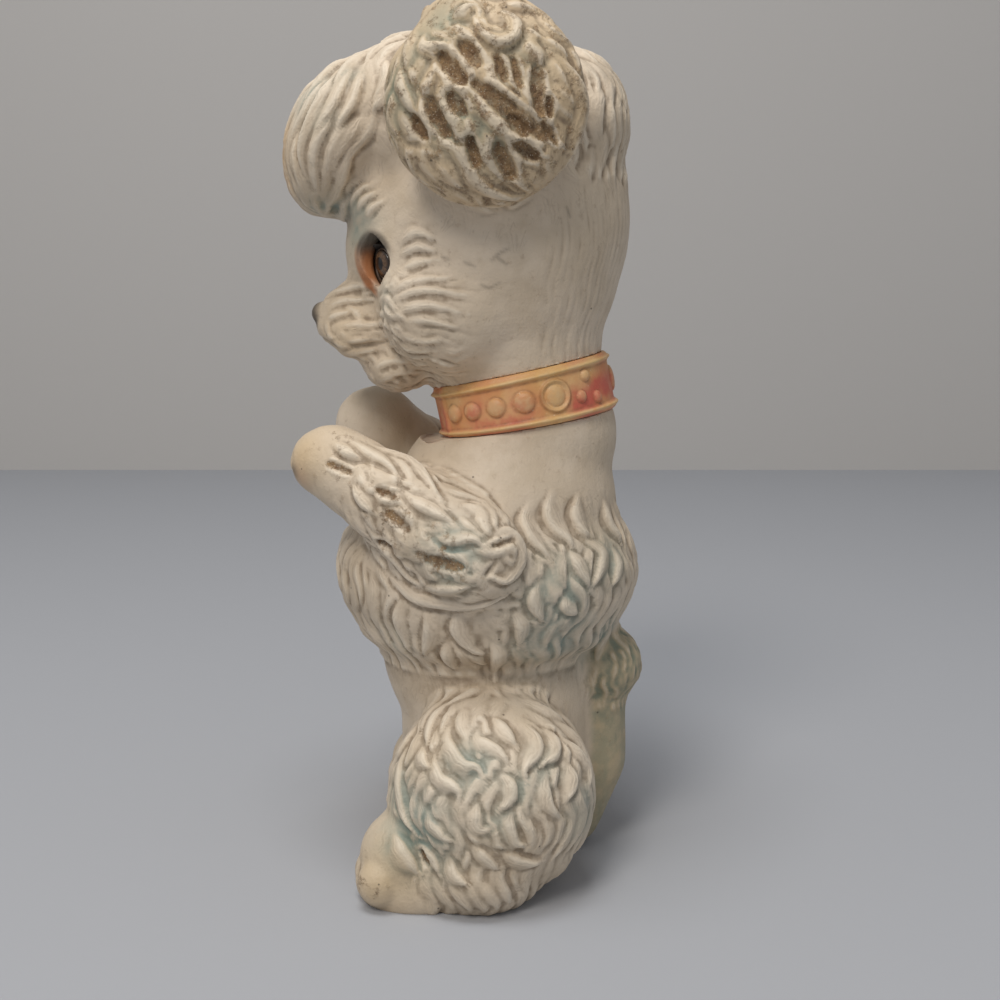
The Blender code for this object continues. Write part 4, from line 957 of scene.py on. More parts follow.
# each pit's line and its width
SLEEVE_PITS = [
    ([(326, 462), (350, 472)], 2.9),
    ([(375, 489), (394, 496)], 2.8),
    ([(384, 511), (396, 519), (408, 530)], 3.6),
    ([(376, 541), (391, 548)], 2.8),
    ([(423, 559), (440, 563), (462, 567)], 4.2),
    ([(491, 547), (513, 540)], 1.8),
    ([(486, 576), (496, 564)], 1.8),
]
NARROW_PIT = 2
for pixels in SLEEVE_LOCKS:
    press_lock(body, drawn(body, pixels), width=5.0, height=1.8, clear=0.3)
for pixels, width in SLEEVE_PITS:
    residue = 0.9 if width > NARROW_PIT else 0.3
    press_pit(body, drawn(body, pixels), width, depth=1.0, rim=0.6, residue=residue)
print("drawn on the near foreleg:", len(SLEEVE_LOCKS), "locks,", len(SLEEVE_PITS), "pits")

# %% Toes, creases and fine lines on the body
TOE_LINE_FLOW = straight((0, -0.3, -1))
PAW_LINE = dict(start=Vector((3.2, -13, 6)), length=11, width=1.7, depth=0.8)
FOOT_LINE = dict(start=Vector((TOE_SPREAD / 2, -13, 2)), length=12, width=1.8, depth=0.9)
CLIPPED_LINES = dict(length=(7, 15), width=(1.1, 1.6), height=(0.06, 0.13), spacing=(9, 4.5), tries=2500)


def part_toes(middle, line):
    """Two lines down the front of a paw or foot, which part its three toes."""
    for toe in (-1, 1):
        start = middle + side_of(line["start"], toe)
        score(body, walk(body, start, TOE_LINE_FLOW, line["length"]), line["width"], line["depth"])


for side in BOTH_SIDES:
    part_toes(ARMS[side]["paw"], PAW_LINE)
for side in BOTH_SIDES:
    part_toes(foot_place(side), FOOT_LINE)
clipped_coat = (1 - furry) * ease(z, 4, 10) * (1 - on_foot)
line_flow = swayed(steady((0, 0.1, -1)), 12, 26, seed=12.0)
counts["lines"] = grow(body, clipped_coat, line_flow, **CLIPPED_LINES, press=score)
print("fine lines on the clipped coat:", counts["lines"])

# %% [markdown]
# ### Paint, dirt, wear and painted shade on the body
# Blue-green paint was sprayed in soft spots over the fur, most of all on the haunches, the back of the ruff
# and the tail. Brown residue sits in the pits, and the paws are worn dark where they touched things. The fur
# and the waist under the ruff are darkened further with painted shade.

# %% Body paint
def dab(skin, field, pixel, radius, strength, sides):
    """A soft round spot of a field, about a photo pixel and its mirror image."""
    for side in sides:
        gap = np.linalg.norm(skin.points - np.array(skin.seen_at(pixel, side)), axis=1)
        skin.lay(field, strength * np.exp(-(gap / radius) ** 2))


def dab_all(skin, spots):
    """Many dabs, from rows of field, sides and spots. A spot is a pixel, a radius in mm and a strength."""
    for field, sides, dabs in spots:
        for pixel, radius, strength in dabs:
            dab(skin, field, pixel, radius, strength, sides)


BODY_SPOTS = [
    ("airbrush", BOTH_SIDES, [
        ((415, 830), 13, 1.0), ((470, 770), 8, 0.8), ((520, 790), 6, 0.6), ((585, 812), 9, 0.7),
        ((555, 640), 13, 0.9), ((560, 600), 13, 0.8), ((450, 556), 9, 0.9), ((610, 560), 9, 0.7),
        ((600, 640), 11, 0.9), ((400, 800), 9, 0.8), ((395, 640), 7, 0.4), ((500, 820), 7, 0.5),
        ((545, 770), 7, 0.5), ((430, 845), 8, 0.7)]),
    ("grime", NEAR_SIDE, [
        ((392, 520), 9, 0.42), ((440, 560), 10, 0.4), ((372, 548), 6, 0.4), ((340, 468), 6, 0.3),
        ((345, 440), 5, 0.25)]),
    ("grime", BOTH_SIDES, [((361, 884), 3, 0.5), ((372, 893), 3, 0.5), ((358, 874), 3, 0.5)]),
    ("stain", BOTH_SIDES, [((300, 478), 4, 0.25)]),
    ("dark", NEAR_SIDE, [((290, 460), 2.6, 0.75), ((294, 471), 2.2, 0.55)]),
    ("warm", NEAR_SIDE, [((300, 455), 8, 0.5)]),
    ("warm", BOTH_SIDES, [((385, 880), 12, 0.45)]),
]
TAIL_SPRAY, TAIL_YELLOWING = 0.95, 0.55
dab_all(body, BODY_SPOTS)
from_stem = np.minimum(limb_distance(body.points, TAIL_ROOT, TAIL_BEND)[0],
                       limb_distance(body.points, TAIL_BEND, TAIL_TIP)[0])
from_tuft = np.linalg.norm(body.points - np.array(TAIL_TUFT), axis=1)
whole_tail = np.maximum(1 - ease(from_stem, 9.5, 13), 1 - ease(from_tuft, 13, 17)) * ease(y, 24, 30)
body.lay("airbrush", TAIL_SPRAY * whole_tail)
body.lay("warm", TAIL_YELLOWING * whole_tail)
# hands left an even film of dirt on the fur, darkened further with painted shade, and painted shadow round
# the waist under the ruff
waist = (1 - furry) * ease(z, 54, 60) * (1 - ease(z, 70, 80))
body.handled = 0.18 * haunch + 0.08 * ruff + 0.08 * any_sleeve + 0.3 * waist
print("share of the body sprayed:", round(float((body.airbrush > 0.3).mean()), 2))

# %% [markdown]
# ## The head skin
# The head is cut across its underside where it meets the collar, gets the plug that snaps into the body, and
# is hollowed. Each eye socket is one spun cutter: outside an opening pinched to an almond, and behind it a
# ball-shaped seat that grips the eye's case.

# %% Mould the head
EYE_BALL_RADIUS = 6.8
CASE_RADIUS = 8.2
THROAT_RADIUS = 6.2
ORBIT_DEPTHS = (22, 19, 17, 15, 13.5, 12, 11, 10, 9, 8, 7)
ORBIT_FLARE = ((7, 11, 22), (6.2, 7.2, 8.8))
ORBIT_TOP = 24
ORBIT = [(0, ORBIT_TOP)] + [(float(np.interp(depth, *ORBIT_FLARE)), depth) for depth in ORBIT_DEPTHS]
ORBIT_INNER, ORBIT_OUTER = 0.8, 1.05
ORBIT_TALL = 1.17
ORBIT_PINCH = 0.42
POCKET_WALL = 1.9
COLLAR_TOP = COLLAR_HALF * (1 + NAPE_GROWTH) + 0.5
COLLAR_TOP_GROWTH = 0.06
HEAD_FOOT = COLLAR_HALF * (1 + COLLAR_TOP_GROWTH) + 0.3
UNDER_RADIUS = 30.5
PLUG = [(0, COLLAR_TOP + 4), (24.0, COLLAR_TOP + 4), (24.0, 3.9), (18.9, 3.9), (18.9, 0.6), (21.1, 0.6),
        (21.1, -0.8), (18.9, -2.8), (0, -2.8)]
PLUG_BORE = [(0, COLLAR_TOP + 5.5), (20, COLLAR_TOP + 5.5), (20, 6.4), (16.3, 6.4), (16.3, -4), (0, -4)]


def eye_place(side):
    turn = Matrix.Rotation(side * EYE_TURN, 4, "Z") @ Matrix.Rotation(math.pi / 2, 4, "X")
    return Matrix.Translation(side_of(EYE, side)) @ turn


def eye_seat(side):
    """The orbit and, behind its throat, the seat of the eye's case."""
    seat_radius = CASE_RADIUS + TOUCH
    throat = math.asin(THROAT_RADIUS / seat_radius)
    seat = spun("eye_seat", ORBIT + arc(seat_radius, throat, math.pi, 20), 64)
    for vertex in seat.data.vertices:
        if vertex.co.z > seat_radius * math.cos(throat) - 0.1:
            slope = vertex.co.y / max(math.hypot(vertex.co.x, vertex.co.y), 0.001)
            reach = ORBIT_OUTER if vertex.co.x * side > 0 else ORBIT_INNER
            vertex.co.x *= reach - ORBIT_PINCH * slope ** 2
            vertex.co.y *= ORBIT_TALL
    return placed(seat, eye_place(side))


def eye_pocket(side):
    """The ball of rubber that is left round the seat of an eye."""
    dome = arc(CASE_RADIUS + TOUCH + POCKET_WALL, 0, math.radians(95), 16)
    return placed(spun("pocket", dome + [(0, -0.87)], 48), eye_place(side))


def head_hollow():
    """The space inside the head, which keeps clear of the eye pockets and the foot of the neck."""
    hollow = fuse(head_clay(WALL), "head_hollow", CORE_VOXEL, CORE_ROUNDS)
    foot = placed(block("foot", (0, 0, COLLAR_TOP + 3 - BLOCK / 2)), NECK_PLACE)
    pockets = [("DIFFERENCE", eye_pocket(side)) for side in BOTH_SIDES]
    return link("head_hollow", combine(hollow, "head_hollow", ("DIFFERENCE", foot), *pockets))


def head_steps():
    """The head is cut off at its foot, gets its plug, and is hollowed, bored and given its eye seats."""
    under = spun("under", [(0, HEAD_FOOT), (UNDER_RADIUS, HEAD_FOOT), (UNDER_RADIUS, -20), (0, -20)])
    plug = placed(spun("plug", PLUG), NECK_PLACE)
    bore = placed(spun("plug_bore", PLUG_BORE), NECK_PLACE)
    placed(under, NECK_PLACE)
    return [("DIFFERENCE", under), ("UNION", plug), ("DIFFERENCE", head_hollow()), ("DIFFERENCE", bore),
            ("DIFFERENCE", eye_seat(1)), ("DIFFERENCE", eye_seat(-1))]


head_whole = fuse(head_clay(), "head_whole")
head = Skin(head_whole, combine(head_whole.copy(), "head_skin", *head_steps()))
print("head skin:", len(head.points), "points")

# %% [markdown]
# ### Head fur
# Long locks roll over the forelock, the ears and crown have short curls, and a tuft of wavy locks hangs down
# the back of the head over a clipped neck with fine combed lines.

# %% Head fur by region
hx, hy, hz = (head.points - np.array(HEAD)).T
head_mirrored = np.column_stack([np.abs(head.points[:, 0]), head.points[:, 1:]])
ear = within(head_mirrored, EAR, EAR_SIZE * 1.12, 0.08)
ear = np.maximum(ear, within(head_mirrored, EAR + EAR_TOP_OFFSET, (30, 35, 22), 0.1))
upright = Matrix.Rotation(math.radians(FORELOCK_LEAN_DEG), 3, "X")
turned = (head.points - np.array(FORELOCK)) @ np.array(upright).T
from_forelock = np.linalg.norm(turned / (np.array(FORELOCK_SIZE) / 2), axis=1)
forelock = (1 - ease(from_forelock, 1.06, 1.2)) * (1 - ear)
nape_tuft = within(head.points, HEAD + Vector((0, 17, 28)), (70, 47, 52), 0.22) * (1 - ear) * ease(hy, 4, 12)
crown = ease(hz, 22, 30) * (1 - ear) * (1 - forelock) * (1 - nape_tuft)
neck_back = ease(hy, 6, 18) * (1 - nape_tuft) * (1 - ear) * (1 - ease(hz, 8, 16))

FORELOCK_FUR = dict(length=(22, 36), width=(3.8, 6.0), height=(1.1, 2.0), spacing=(14, 3.2))
CROWN_FUR = dict(length=(12, 20), width=(4.0, 6.4), height=(1.0, 1.9), spacing=(9, 3.4))
NAPE_FUR = dict(length=(16, 26), width=(4.0, 6.2), height=(1.2, 2.1), spacing=(12, 3.4))
EAR_FUR = dict(length=(12, 22), width=(3.8, 6.0), height=(0.9, 1.6), spacing=(10, 3.4))
COMBED_LINES = dict(length=(10, 24), width=(1.4, 2.0), height=(0.2, 0.45), spacing=(10, 2.0))
TOP_OF_FORELOCK = HEAD + Vector((0, -27, 52))
FOOT_OF_FORELOCK = HEAD + Vector((0, -47, 3))
CROWN_POLE = HEAD + Vector((0, -14, 70))
NAPE_POLE = HEAD + Vector((0, -2, 62))
EAR_POLE = EAR + Vector((4, -14, 22))


def forelock_flow(point):
    """From the parting at the top, round the roll of the forelock, in to its foot."""
    return (point - TOP_OF_FORELOCK).normalized() + (FOOT_OF_FORELOCK - point).normalized() * 0.7


counts = {}
head_flows = {
    "forelock": (forelock, swayed(forelock_flow, 15, 34, 40.0, seed=2.0), FORELOCK_FUR),
    "crown": (crown, swayed(away_from(CROWN_POLE, 0.2), 30, 18, 26.0, seed=4.0), CROWN_FUR),
    "nape": (nape_tuft, swayed(away_from(NAPE_POLE, 0.9), 28, 18, 26.0, seed=6.0), NAPE_FUR),
}
for name, (region, flow, fur) in head_flows.items():
    counts[name] = grow(head, region, flow, **fur)
for side in BOTH_SIDES:
    ear_flow = swayed(away_from(side_of(EAR_POLE, side), 0.5), 32, 18, 26.0, seed=8.0)
    counts[f"ear {side}"] = grow(head, ear * (hx * side > 0), ear_flow, **EAR_FUR)
coat = np.clip(3 * (ear + forelock + crown + nape_tuft), 0, 1)
head.relief *= coat
head.carve *= coat
neck_flow = swayed(steady((0, 0.05, -1)), 9, 24, seed=9.0)
counts["neck back"] = grow(head, neck_back, neck_flow, **COMBED_LINES, press=score)
print("head locks:", counts)

# %% Drawn ear curls and pits
# each ridge's or pit's line and its width
EAR_RIDGES = [
    ([(547, 46), (571, 73), (581, 102), (576, 136), (559, 170)], 6.4),
    ([(522, 73), (525, 97), (537, 121), (554, 145), (566, 165)], 4.6),
    ([(484, 48), (491, 80), (513, 104), (542, 128), (566, 150)], 4.8),
    ([(464, 85), (481, 107), (498, 126), (522, 141), (547, 158), (561, 172)], 5.0),
    ([(401, 61), (401, 85), (416, 114)], 5.2),
    ([(387, 80), (387, 112), (401, 136), (421, 155), (445, 175), (474, 192)], 6.0),
    ([(416, 145), (445, 145), (464, 160), (474, 179), (498, 194), (527, 194)], 5.6),
    ([(423, 32), (425, 48), (450, 46)], 5.0),
    ([(488, 15), (503, 12), (515, 22), (513, 36), (498, 41), (481, 32), (474, 17)], 5.0),
    ([(452, 24), (462, 14), (474, 6)], 5.0),
    ([(436, 66), (452, 76), (466, 90)], 3.6),
    ([(420, 90), (424, 112), (440, 134)], 3.6),
]
EAR_PITS = [
    ([(457, 41), (468, 50), (479, 64)], 4.6),
    ([(438, 53), (450, 66), (464, 82)], 5.0),
    ([(496, 53), (505, 80)], 3.4),
    ([(513, 56), (520, 85)], 2.6),
    ([(537, 63), (539, 97), (542, 116)], 4.4),
    ([(471, 80), (493, 97), (522, 119), (549, 138)], 5.4),
    ([(447, 92), (456, 102), (464, 114)], 4.4),
    ([(428, 95), (438, 121), (450, 136)], 4.4),
    ([(411, 114), (425, 138)], 3.6),
    ([(508, 116), (527, 133)], 4.6),
    ([(496, 141), (503, 158), (513, 179)], 5.2),
    ([(515, 143), (537, 158)], 4.2),
    ([(469, 136), (476, 165)], 3.4),
    ([(549, 95), (551, 116)], 2.4),
    ([(542, 121), (556, 141)], 2.4),
]
RIDGE = dict(height=2.2, clear=0.4)
EAR_PIT = dict(depth=1.45, rim=0.8)
EAR_RESIDUE = {1: 0.92, -1: 0.6}
for side in BOTH_SIDES:
    for pixels, width in EAR_RIDGES:
        press_lock(head, drawn(head, pixels, side), width, **RIDGE, crisp=side)
    for pixels, width in EAR_PITS:
        press_pit(head, drawn(head, pixels, side), width, **EAR_PIT, residue=EAR_RESIDUE[side])
print("drawn on each ear:", len(EAR_RIDGES), "curls,", len(EAR_PITS), "pits")

# %% Drawn locks of the face
CHEEK_LOCKS = [
    [(398.8, 244.8), (415.8, 232.7), (435.2, 238.8)],
    [(397.6, 257), (415.8, 247.3), (435.2, 250.9)],
    [(401.2, 269.1), (418.2, 263), (435.2, 260.6)],
    [(389.1, 293.3), (415.8, 281.2), (449.7, 278.8)],
    [(390.3, 303), (415.8, 290.9), (459.4, 294.5)],
    [(393.9, 312.7), (425.5, 305.5), (460.6, 312.7)],
    [(401.2, 322.4), (425.5, 320), (454.5, 327.3)],
    [(396.4, 332.1), (415.8, 339.4), (437.6, 341.8)],
    [(396.4, 341.8), (410.9, 349.1), (430.3, 351.5)],
]
MUZZLE_LOCKS = [
    [(321.2, 303), (338.2, 290.9), (360, 286.1), (374.5, 288.5)],
    [(323.6, 312.7), (345.5, 300.6), (377, 300.6)],
    [(326.1, 320), (350.3, 312.7), (386.7, 312.7)],
    [(330.9, 329.7), (357.6, 324.8), (386.7, 327.3)],
    [(335.8, 341.8), (360, 339.4), (384.2, 339.4)],
    [(340.6, 351.5), (362.4, 351.5), (377, 349.1)],
]
BROW_LOCKS = [
    [(345.5, 199), (348.5, 186), (360, 180)],
    [(350.3, 208), (356, 194), (369.7, 185)],
    [(357.6, 214), (363, 201), (377, 192)],
    [(366, 219), (373, 208), (384.2, 201)],
]
CHIN_LOCKS = [
    [(372, 372), (388, 362), (408, 362)],
    [(376, 382), (394, 374), (416, 372)],
    [(398, 384), (416, 380), (436, 376)],
]
FACE_LINES = [
    [(425, 300), (450, 299), (478, 304)],
    [(430, 326), (456, 331), (480, 338)],
    [(420, 334), (444, 338), (466, 346)],
    [(418, 352), (440, 360), (462, 366)],
    [(440, 286), (462, 288), (484, 292)],
    [(410, 366), (430, 370), (450, 376)],
    [(352, 300), (366, 296), (380, 297)],
    [(346, 322), (360, 318), (376, 320)],
    [(352, 346), (364, 345), (378, 344)],
]
# each group of locks with its width and height
FACE_LOCKS = [(CHEEK_LOCKS, 3.4, 1.05), (MUZZLE_LOCKS, 3.0, 0.9), (BROW_LOCKS, 2.8, 1.0),
              (CHIN_LOCKS, 3.4, 1.0)]
FACE_LOCK = dict(tip=0.65, groove=0.4, clear=0.7)
BEARD_FUR = dict(length=(5, 11), width=(1.8, 3.4), height=(0.45, 0.95), spacing=(6, 2.0), tip=0.65,
                 groove=0.35)
MUZZLE_ROOT = HEAD + Vector((0, -56, -24))
beard = within(head_mirrored, HEAD + Vector((12, -26, -33)), (44, 58, 38), 0.22)
beard *= (1 - ease(hy, -20, -8)) * (1 - ease(hz, -20, -13))
beard_flow = swayed(away_from(MUZZLE_ROOT, 0.1), 30, 13, 9.0, seed=16.0)
counts["beard"] = grow(head, beard, beard_flow, **BEARD_FUR)
for side in BOTH_SIDES:
    for locks, width, height in FACE_LOCKS:
        for pixels in locks:
            press_lock(head, drawn(head, pixels, side), width, height, **FACE_LOCK, crisp=-side)
    for pixels in FACE_LINES:
        score(head, drawn(head, pixels, side), width=1.3, depth=0.35)
print("drawn on each side of the face:", sum(len(locks) for locks, _, _ in FACE_LOCKS), "locks")

# %% The mouth and the short coat of the face
LIP_TOP = NOSE + Vector((0, -3, -3.5))
MOUTH = NOSE + Vector((0, -3, -8))
FACE_COAT_LINES = dict(length=(6, 13), width=(0.9, 1.4), height=(0.08, 0.18), spacing=(8, 4.0), tries=2500)
score(head, walk(head, LIP_TOP, straight((0, 0.1, -1)), 6), width=1.5, depth=0.9)
for side in BOTH_SIDES:
    score(head, walk(head, MOUTH, straight((side, 0.8, -0.25)), 14), width=1.7, depth=1.0)
face_coat = (1 - coat) * (1 - ease(hy, 0, 10)) * ease(hz, -50, -44)
face_flow = swayed(away_from(MUZZLE + Vector((0, -20, 0)), 0.15), 14, 20, seed=14.0)
counts["face lines"] = grow(head, face_coat, face_flow, **FACE_COAT_LINES, press=score)
print("face:", counts["beard"], "beard locks,", counts["face lines"], "fine lines")

# %% Head paint
HEAD_SPOTS = [
    ("airbrush", BOTH_SIDES, [
        ((358, 228), 8, 0.95), ((352, 212), 6, 0.5), ((455, 125), 8, 0.8), ((480, 137), 8, 0.8),
        ((395, 95), 8, 0.9), ((440, 20), 8, 0.8), ((310, 95), 7, 0.7), ((330, 207), 7, 0.8),
        ((410, 60), 6, 0.6), ((520, 60), 8, 0.5), ((390, 120), 7, 0.6), ((385, 300), 5, 0.4),
        ((345, 75), 5, 0.4), ((325, 120), 5, 0.35)]),
    ("grime", NEAR_SIDE, [
        ((490, 120), 17, 0.42), ((500, 170), 9, 0.45), ((465, 60), 9, 0.4), ((430, 120), 8, 0.35),
        ((545, 110), 8, 0.35), ((570, 100), 6, 0.3)]),
    ("warm", BOTH_SIDES, [((560, 110), 14, 0.5), ((500, 20), 10, 0.4), ((345, 340), 10, 0.35)]),
]
WORN_SPOT = HEAD + Vector((0, -64, 20))
EAR_DIRT, EAR_YELLOWING = 0.3, 0.5
NOSE_PAINT_PLACE = NOSE + Vector((0, -1.5, -0.5))
NOSE_PAINT_SIZE = (9, 7.5, 9)
dab_all(head, HEAD_SPOTS)
# the front of the forelock is rubbed down to yellowed rubber
worn = 1 - ease(np.linalg.norm(head.points - np.array(WORN_SPOT), axis=1), 6, 20)
head.lay("warm", 0.8 * worn)
head.lay("stain", 0.18 * worn)
head.lay("grime", EAR_DIRT * ear * (hx > 0))
head.lay("warm", EAR_YELLOWING * ear)
head.lay("dark", 0.85 * within(head.points, NOSE_PAINT_PLACE, NOSE_PAINT_SIZE, 0.3))
# the inner corner of each socket is stained orange, and the upper wall of the socket behind the lid gets
# painted shade
for side in BOTH_SIDES:
    own = np.column_stack([head.points, np.ones(len(head.points))]) @ np.array(eye_place(side).inverted()).T
    from_axis = np.hypot(own[:, 0], own[:, 1] / ORBIT_TALL)
    in_socket = (1 - ease(from_axis, 7.6, 9.6)) * (1 - ease(own[:, 2], 8.0, 12.5)) * ease(own[:, 2], 1, 4)
    inner = ease(-own[:, 0] * side, -1.0, 3.5) * (1 - ease(own[:, 1], 2, 7))
    head.lay("stain", 0.9 * in_socket * inner)
    painted_lid_shade = (1 - ease(from_axis, 6.6, 8.2)) * ease(own[:, 2], 1, 4) * ease(own[:, 1], 0, 5)
    head.lay("dark", 0.75 * painted_lid_shade)
print("share of the head sprayed:", round(float((head.airbrush > 0.3).mean()), 2))

# %% Scratches on the cheek
SCRATCHES = [
    [(490, 262), (499, 254), (508, 249)],
    [(494, 255), (506, 264)],
    [(479, 283), (489, 288), (499, 283)],
    [(462, 262), (474, 266)],
    [(566, 205), (570, 216)],
    [(440, 257), (448, 259)],
]
SCRATCH_REACH = 1.4
SCRATCH_WIDTH = 0.45
SCRATCH_DARKNESS = 0.4
for pixels in SCRATCHES:
    picks, share, across = local(head, drawn(head, pixels), SCRATCH_REACH)
    mark = SCRATCH_DARKNESS * np.exp(-(across / SCRATCH_WIDTH) ** 2) * np.sin(np.pi * share) ** 0.5
    head.dark[picks] = np.maximum(head.dark[picks], mark)
print("scratches:", len(SCRATCHES))

# %% [markdown]
# ## From numbers to rubber
# The skin now moves: out where locks stand, in along their grooves. A hollow is what lies lower than the
# average of its surroundings. That number, with the dirt and painted shade of the fur and the waist added to
# it, later guides the airbrushed paint, the dirt and the pale rubbed ridges. The finished skin is cut in two
# or more pieces only to keep each mesh a handy size, and the normals along those cuts are taken from the
# whole skin, so that no seam shows. The locks next to a cut face fade out, so that rims stay clean.

# %% Raise the relief
BOX_LOW, BOX_HIGH = (np.array(Vector(corner)) for corner in box_at_load)
BOX_MARGIN = 1e-5
OUTER_LIMIT = 0.03
HOLLOW_SPAN = 0.55
FINE_ROUNDS, WIDE_ROUNDS = 4, 14
STRAND_JUMP = 1.3
CUT_REACH = 1.2


def outer_part(skin):
    """1 where the skin is the outside of the moulding, 0 on cut faces and in the hollow."""
    gaps = np.array([skin.tree.find_nearest(point)[3] for point in skin.points])
    return (gaps < OUTER_LIMIT).astype(float)


def still_strands(skin):
    """Strand lines fade out wherever two locks meet, since their lines don't join."""
    jump = np.abs(skin.strand[skin.pairs[:, 0]] - skin.strand[skin.pairs[:, 1]]) > STRAND_JUMP
    meets = np.bincount(skin.pairs[jump].ravel(), minlength=len(skin.strand)) > 0
    skin.comb[meets] = 0
    skin.comb = np.minimum(skin.blur(skin.comb, 1), np.where(meets, 0, 1))


def raise_relief(skin, inset):
    """Moves the skin out by its relief, into the frame, and works out how hollow each place is."""
    outer = outer_part(skin)
    hold = outer * ease(skin.blur(outer, 3), 0.6, 1.0)
    relief = skin.blur(skin.relief, 1) - skin.blur(skin.carve, 1)
    still_strands(skin)
    moved = skin.points + skin.normals * ((relief - inset) * hold)[:, None]
    moved = np.clip(moved * MM + np.array(ORIGIN), BOX_LOW + BOX_MARGIN, BOX_HIGH - BOX_MARGIN)
    height = relief * hold
    fine = skin.blur(height, FINE_ROUNDS)
    wide = skin.blur(height, WIDE_ROUNDS)
    # the dirt and painted shade of the fur and the waist are added to the hollowness, so they darken like
    # hollows
    skin.cavity = ((fine - height) * 1.4 + (wide - height) * 0.6) / HOLLOW_SPAN + skin.handled
    skin.cavity = np.clip(skin.cavity, -1, 1)
    skin.mesh.vertices.foreach_set("co", moved.astype(np.float32).ravel())
    skin.mesh.update()
    print("relief from", round(float(height.min()), 2), "to", round(float(height.max()), 2), "mm")


def store(mesh, name, values):
    layer = mesh.attributes.new(name, "FLOAT", "POINT")
    layer.data.foreach_set("value", values.astype(np.float32))


def share_out(skin, pieces):
    """Cuts the finished skin by planes. Pieces is a list of (name, [(place, normal)...])."""
    mesh = skin.mesh
    for field in ("cavity",) + PAINT_FIELDS:
        store(mesh, field, getattr(skin, field))
    normals = read(mesh.vertices, "normal", 3)
    finder = finder_of(read(mesh.vertices, "co", 3))
    made = []
    for name, planes in pieces:
        bm = bmesh.new()
        bm.from_mesh(mesh)
        for place, normal in planes:
            bmesh.ops.bisect_plane(bm, geom=bm.verts[:] + bm.edges[:] + bm.faces[:], dist=1e-7,
                                   plane_co=place, plane_no=normal, clear_outer=True)
            rim = [edge for edge in bm.edges if edge.is_boundary]
            bmesh.ops.holes_fill(bm, edges=rim, sides=0)
        piece = bpy.data.meshes.new(name)
        bm.to_mesh(piece)
        bm.free()
        piece.shade_smooth()
        own = read(piece.vertices, "normal", 3)
        spots = read(piece.vertices, "co", 3)
        for place, normal in planes:
            beside = np.abs((spots - np.array(place)) @ np.array(normal)) < CUT_REACH * MM
            for index in np.flatnonzero(beside):
                own[index] = normals[finder.find(spots[index])[1]]
        piece.normals_split_custom_set_from_vertices(own.tolist())
        made.append(link(name, piece))
    return made


# %% [markdown]
# ## Materials
# All the shaders share one small helper that adds a node with its settings and links, from a table of the
# kinds of node that they need. Colours are written as the sRGB values that they have to the eye.

# %% Shader helpers
def srgb(code):
    """A colour written as an sRGB hex code, as the linear values that a shader wants."""
    parts = [int(code[index:index + 2], 16) / 255 for index in (1, 3, 5)]
    return (*[part / 12.92 if part <= 0.04045 else ((part + 0.055) / 1.055) ** 2.4 for part in parts], 1.0)


# for each kind of node: its type, its settings, the sockets that its values go to, and the output it gives
NODES = {
    "field": ("Attribute", {}, (), "Fac"),
    "place": ("TexCoord", {}, (), "Object"),
    "mix": ("Mix", {"data_type": "RGBA"}, (0, 6, 7), 2),
    "span": ("MapRange", {"interpolation_type": "SMOOTHSTEP"}, (0, 1, 2, 3, 4), 0),
    "sum": ("Math", {"operation": "ADD"}, (0, 1), 0),
    "product": ("Math", {"operation": "MULTIPLY"}, (0, 1), 0),
    "sine": ("Math", {"operation": "SINE"}, (0,), 0),
    "vector": ("CombineXYZ", {}, (0, 1, 2), 0),
    "noise": ("TexNoise", {}, ("Vector", "Scale", "Detail", "Roughness"), 0),
    "cells": ("TexVoronoi", {}, ("Vector", "Scale"), "Distance"),
    "bump": ("Bump", {}, ("Strength", "Distance", "Height"), 0),
}


class Finish:
    """A material that is being mixed, with its node tree."""

    def __init__(self, name):
        self.material = bpy.data.materials.new(name)
        self.material.use_nodes = True
        self.tree = self.material.node_tree

    def plug(self, socket, value):
        """Puts a value, a colour code or another node's output on a socket."""
        if isinstance(value, bpy.types.NodeSocket):
            self.tree.links.new(value, socket)
        else:
            socket.default_value = srgb(value) if isinstance(value, str) else value

    def add(self, kind, *values, **settings):
        """Adds a node with its settings and links, and gives its output."""
        family, usual, sockets, output = NODES[kind]
        made = self.tree.nodes.new("ShaderNode" + family)
        for name, value in (usual | settings).items():
            setattr(made, name, value)
        for socket, value in zip(sockets, values):
            self.plug(made.inputs[socket], value)
        return made.outputs[output]

    def fields(self, *names):
        """The values that a piece's vertices carry, by name."""
        return {name: self.add("field", attribute_name=name) for name in names}

    def patches(self, size_mm, low, high, to_low=0.0, to_high=1.0, detail=3.0, rough=0.55):
        """Noise with blotches of a real size. Its values from low to high are spread over a new range."""
        grain = self.add("noise", self.add("place"), 1 / (size_mm * MM), detail, rough)
        return self.add("span", grain, low, high, to_low, to_high)

    def dress(self, **sockets):
        """Wires the shader, which ends the mixing, and gives the material."""
        shader = self.tree.nodes["Principled BSDF"]
        for name, value in sockets.items():
            self.plug(shader.inputs[name.replace("_", " ")], value)
        return self.material


# %% [markdown]
# ### Aged cream rubber
# Latex that was drained from a mould dries matte, with a fine tooth. With age it yellows unevenly, hands rub
# its ridges pale and dirt stays in its hollows. Painted shade on the fur and round the waist goes the same
# way as that dirt, and the residue's grains get painted glints. What guides all this is in the fields on the
# skin, so paint and dirt follow the relief, and noise of a real size breaks each of them up.

# %% Aged cream rubber
STRAND_GAP = 1.4
STRAND_HEIGHT = 0.042
GRAIN_GLINT = 0.8
SPECK_SPACING = 8.0


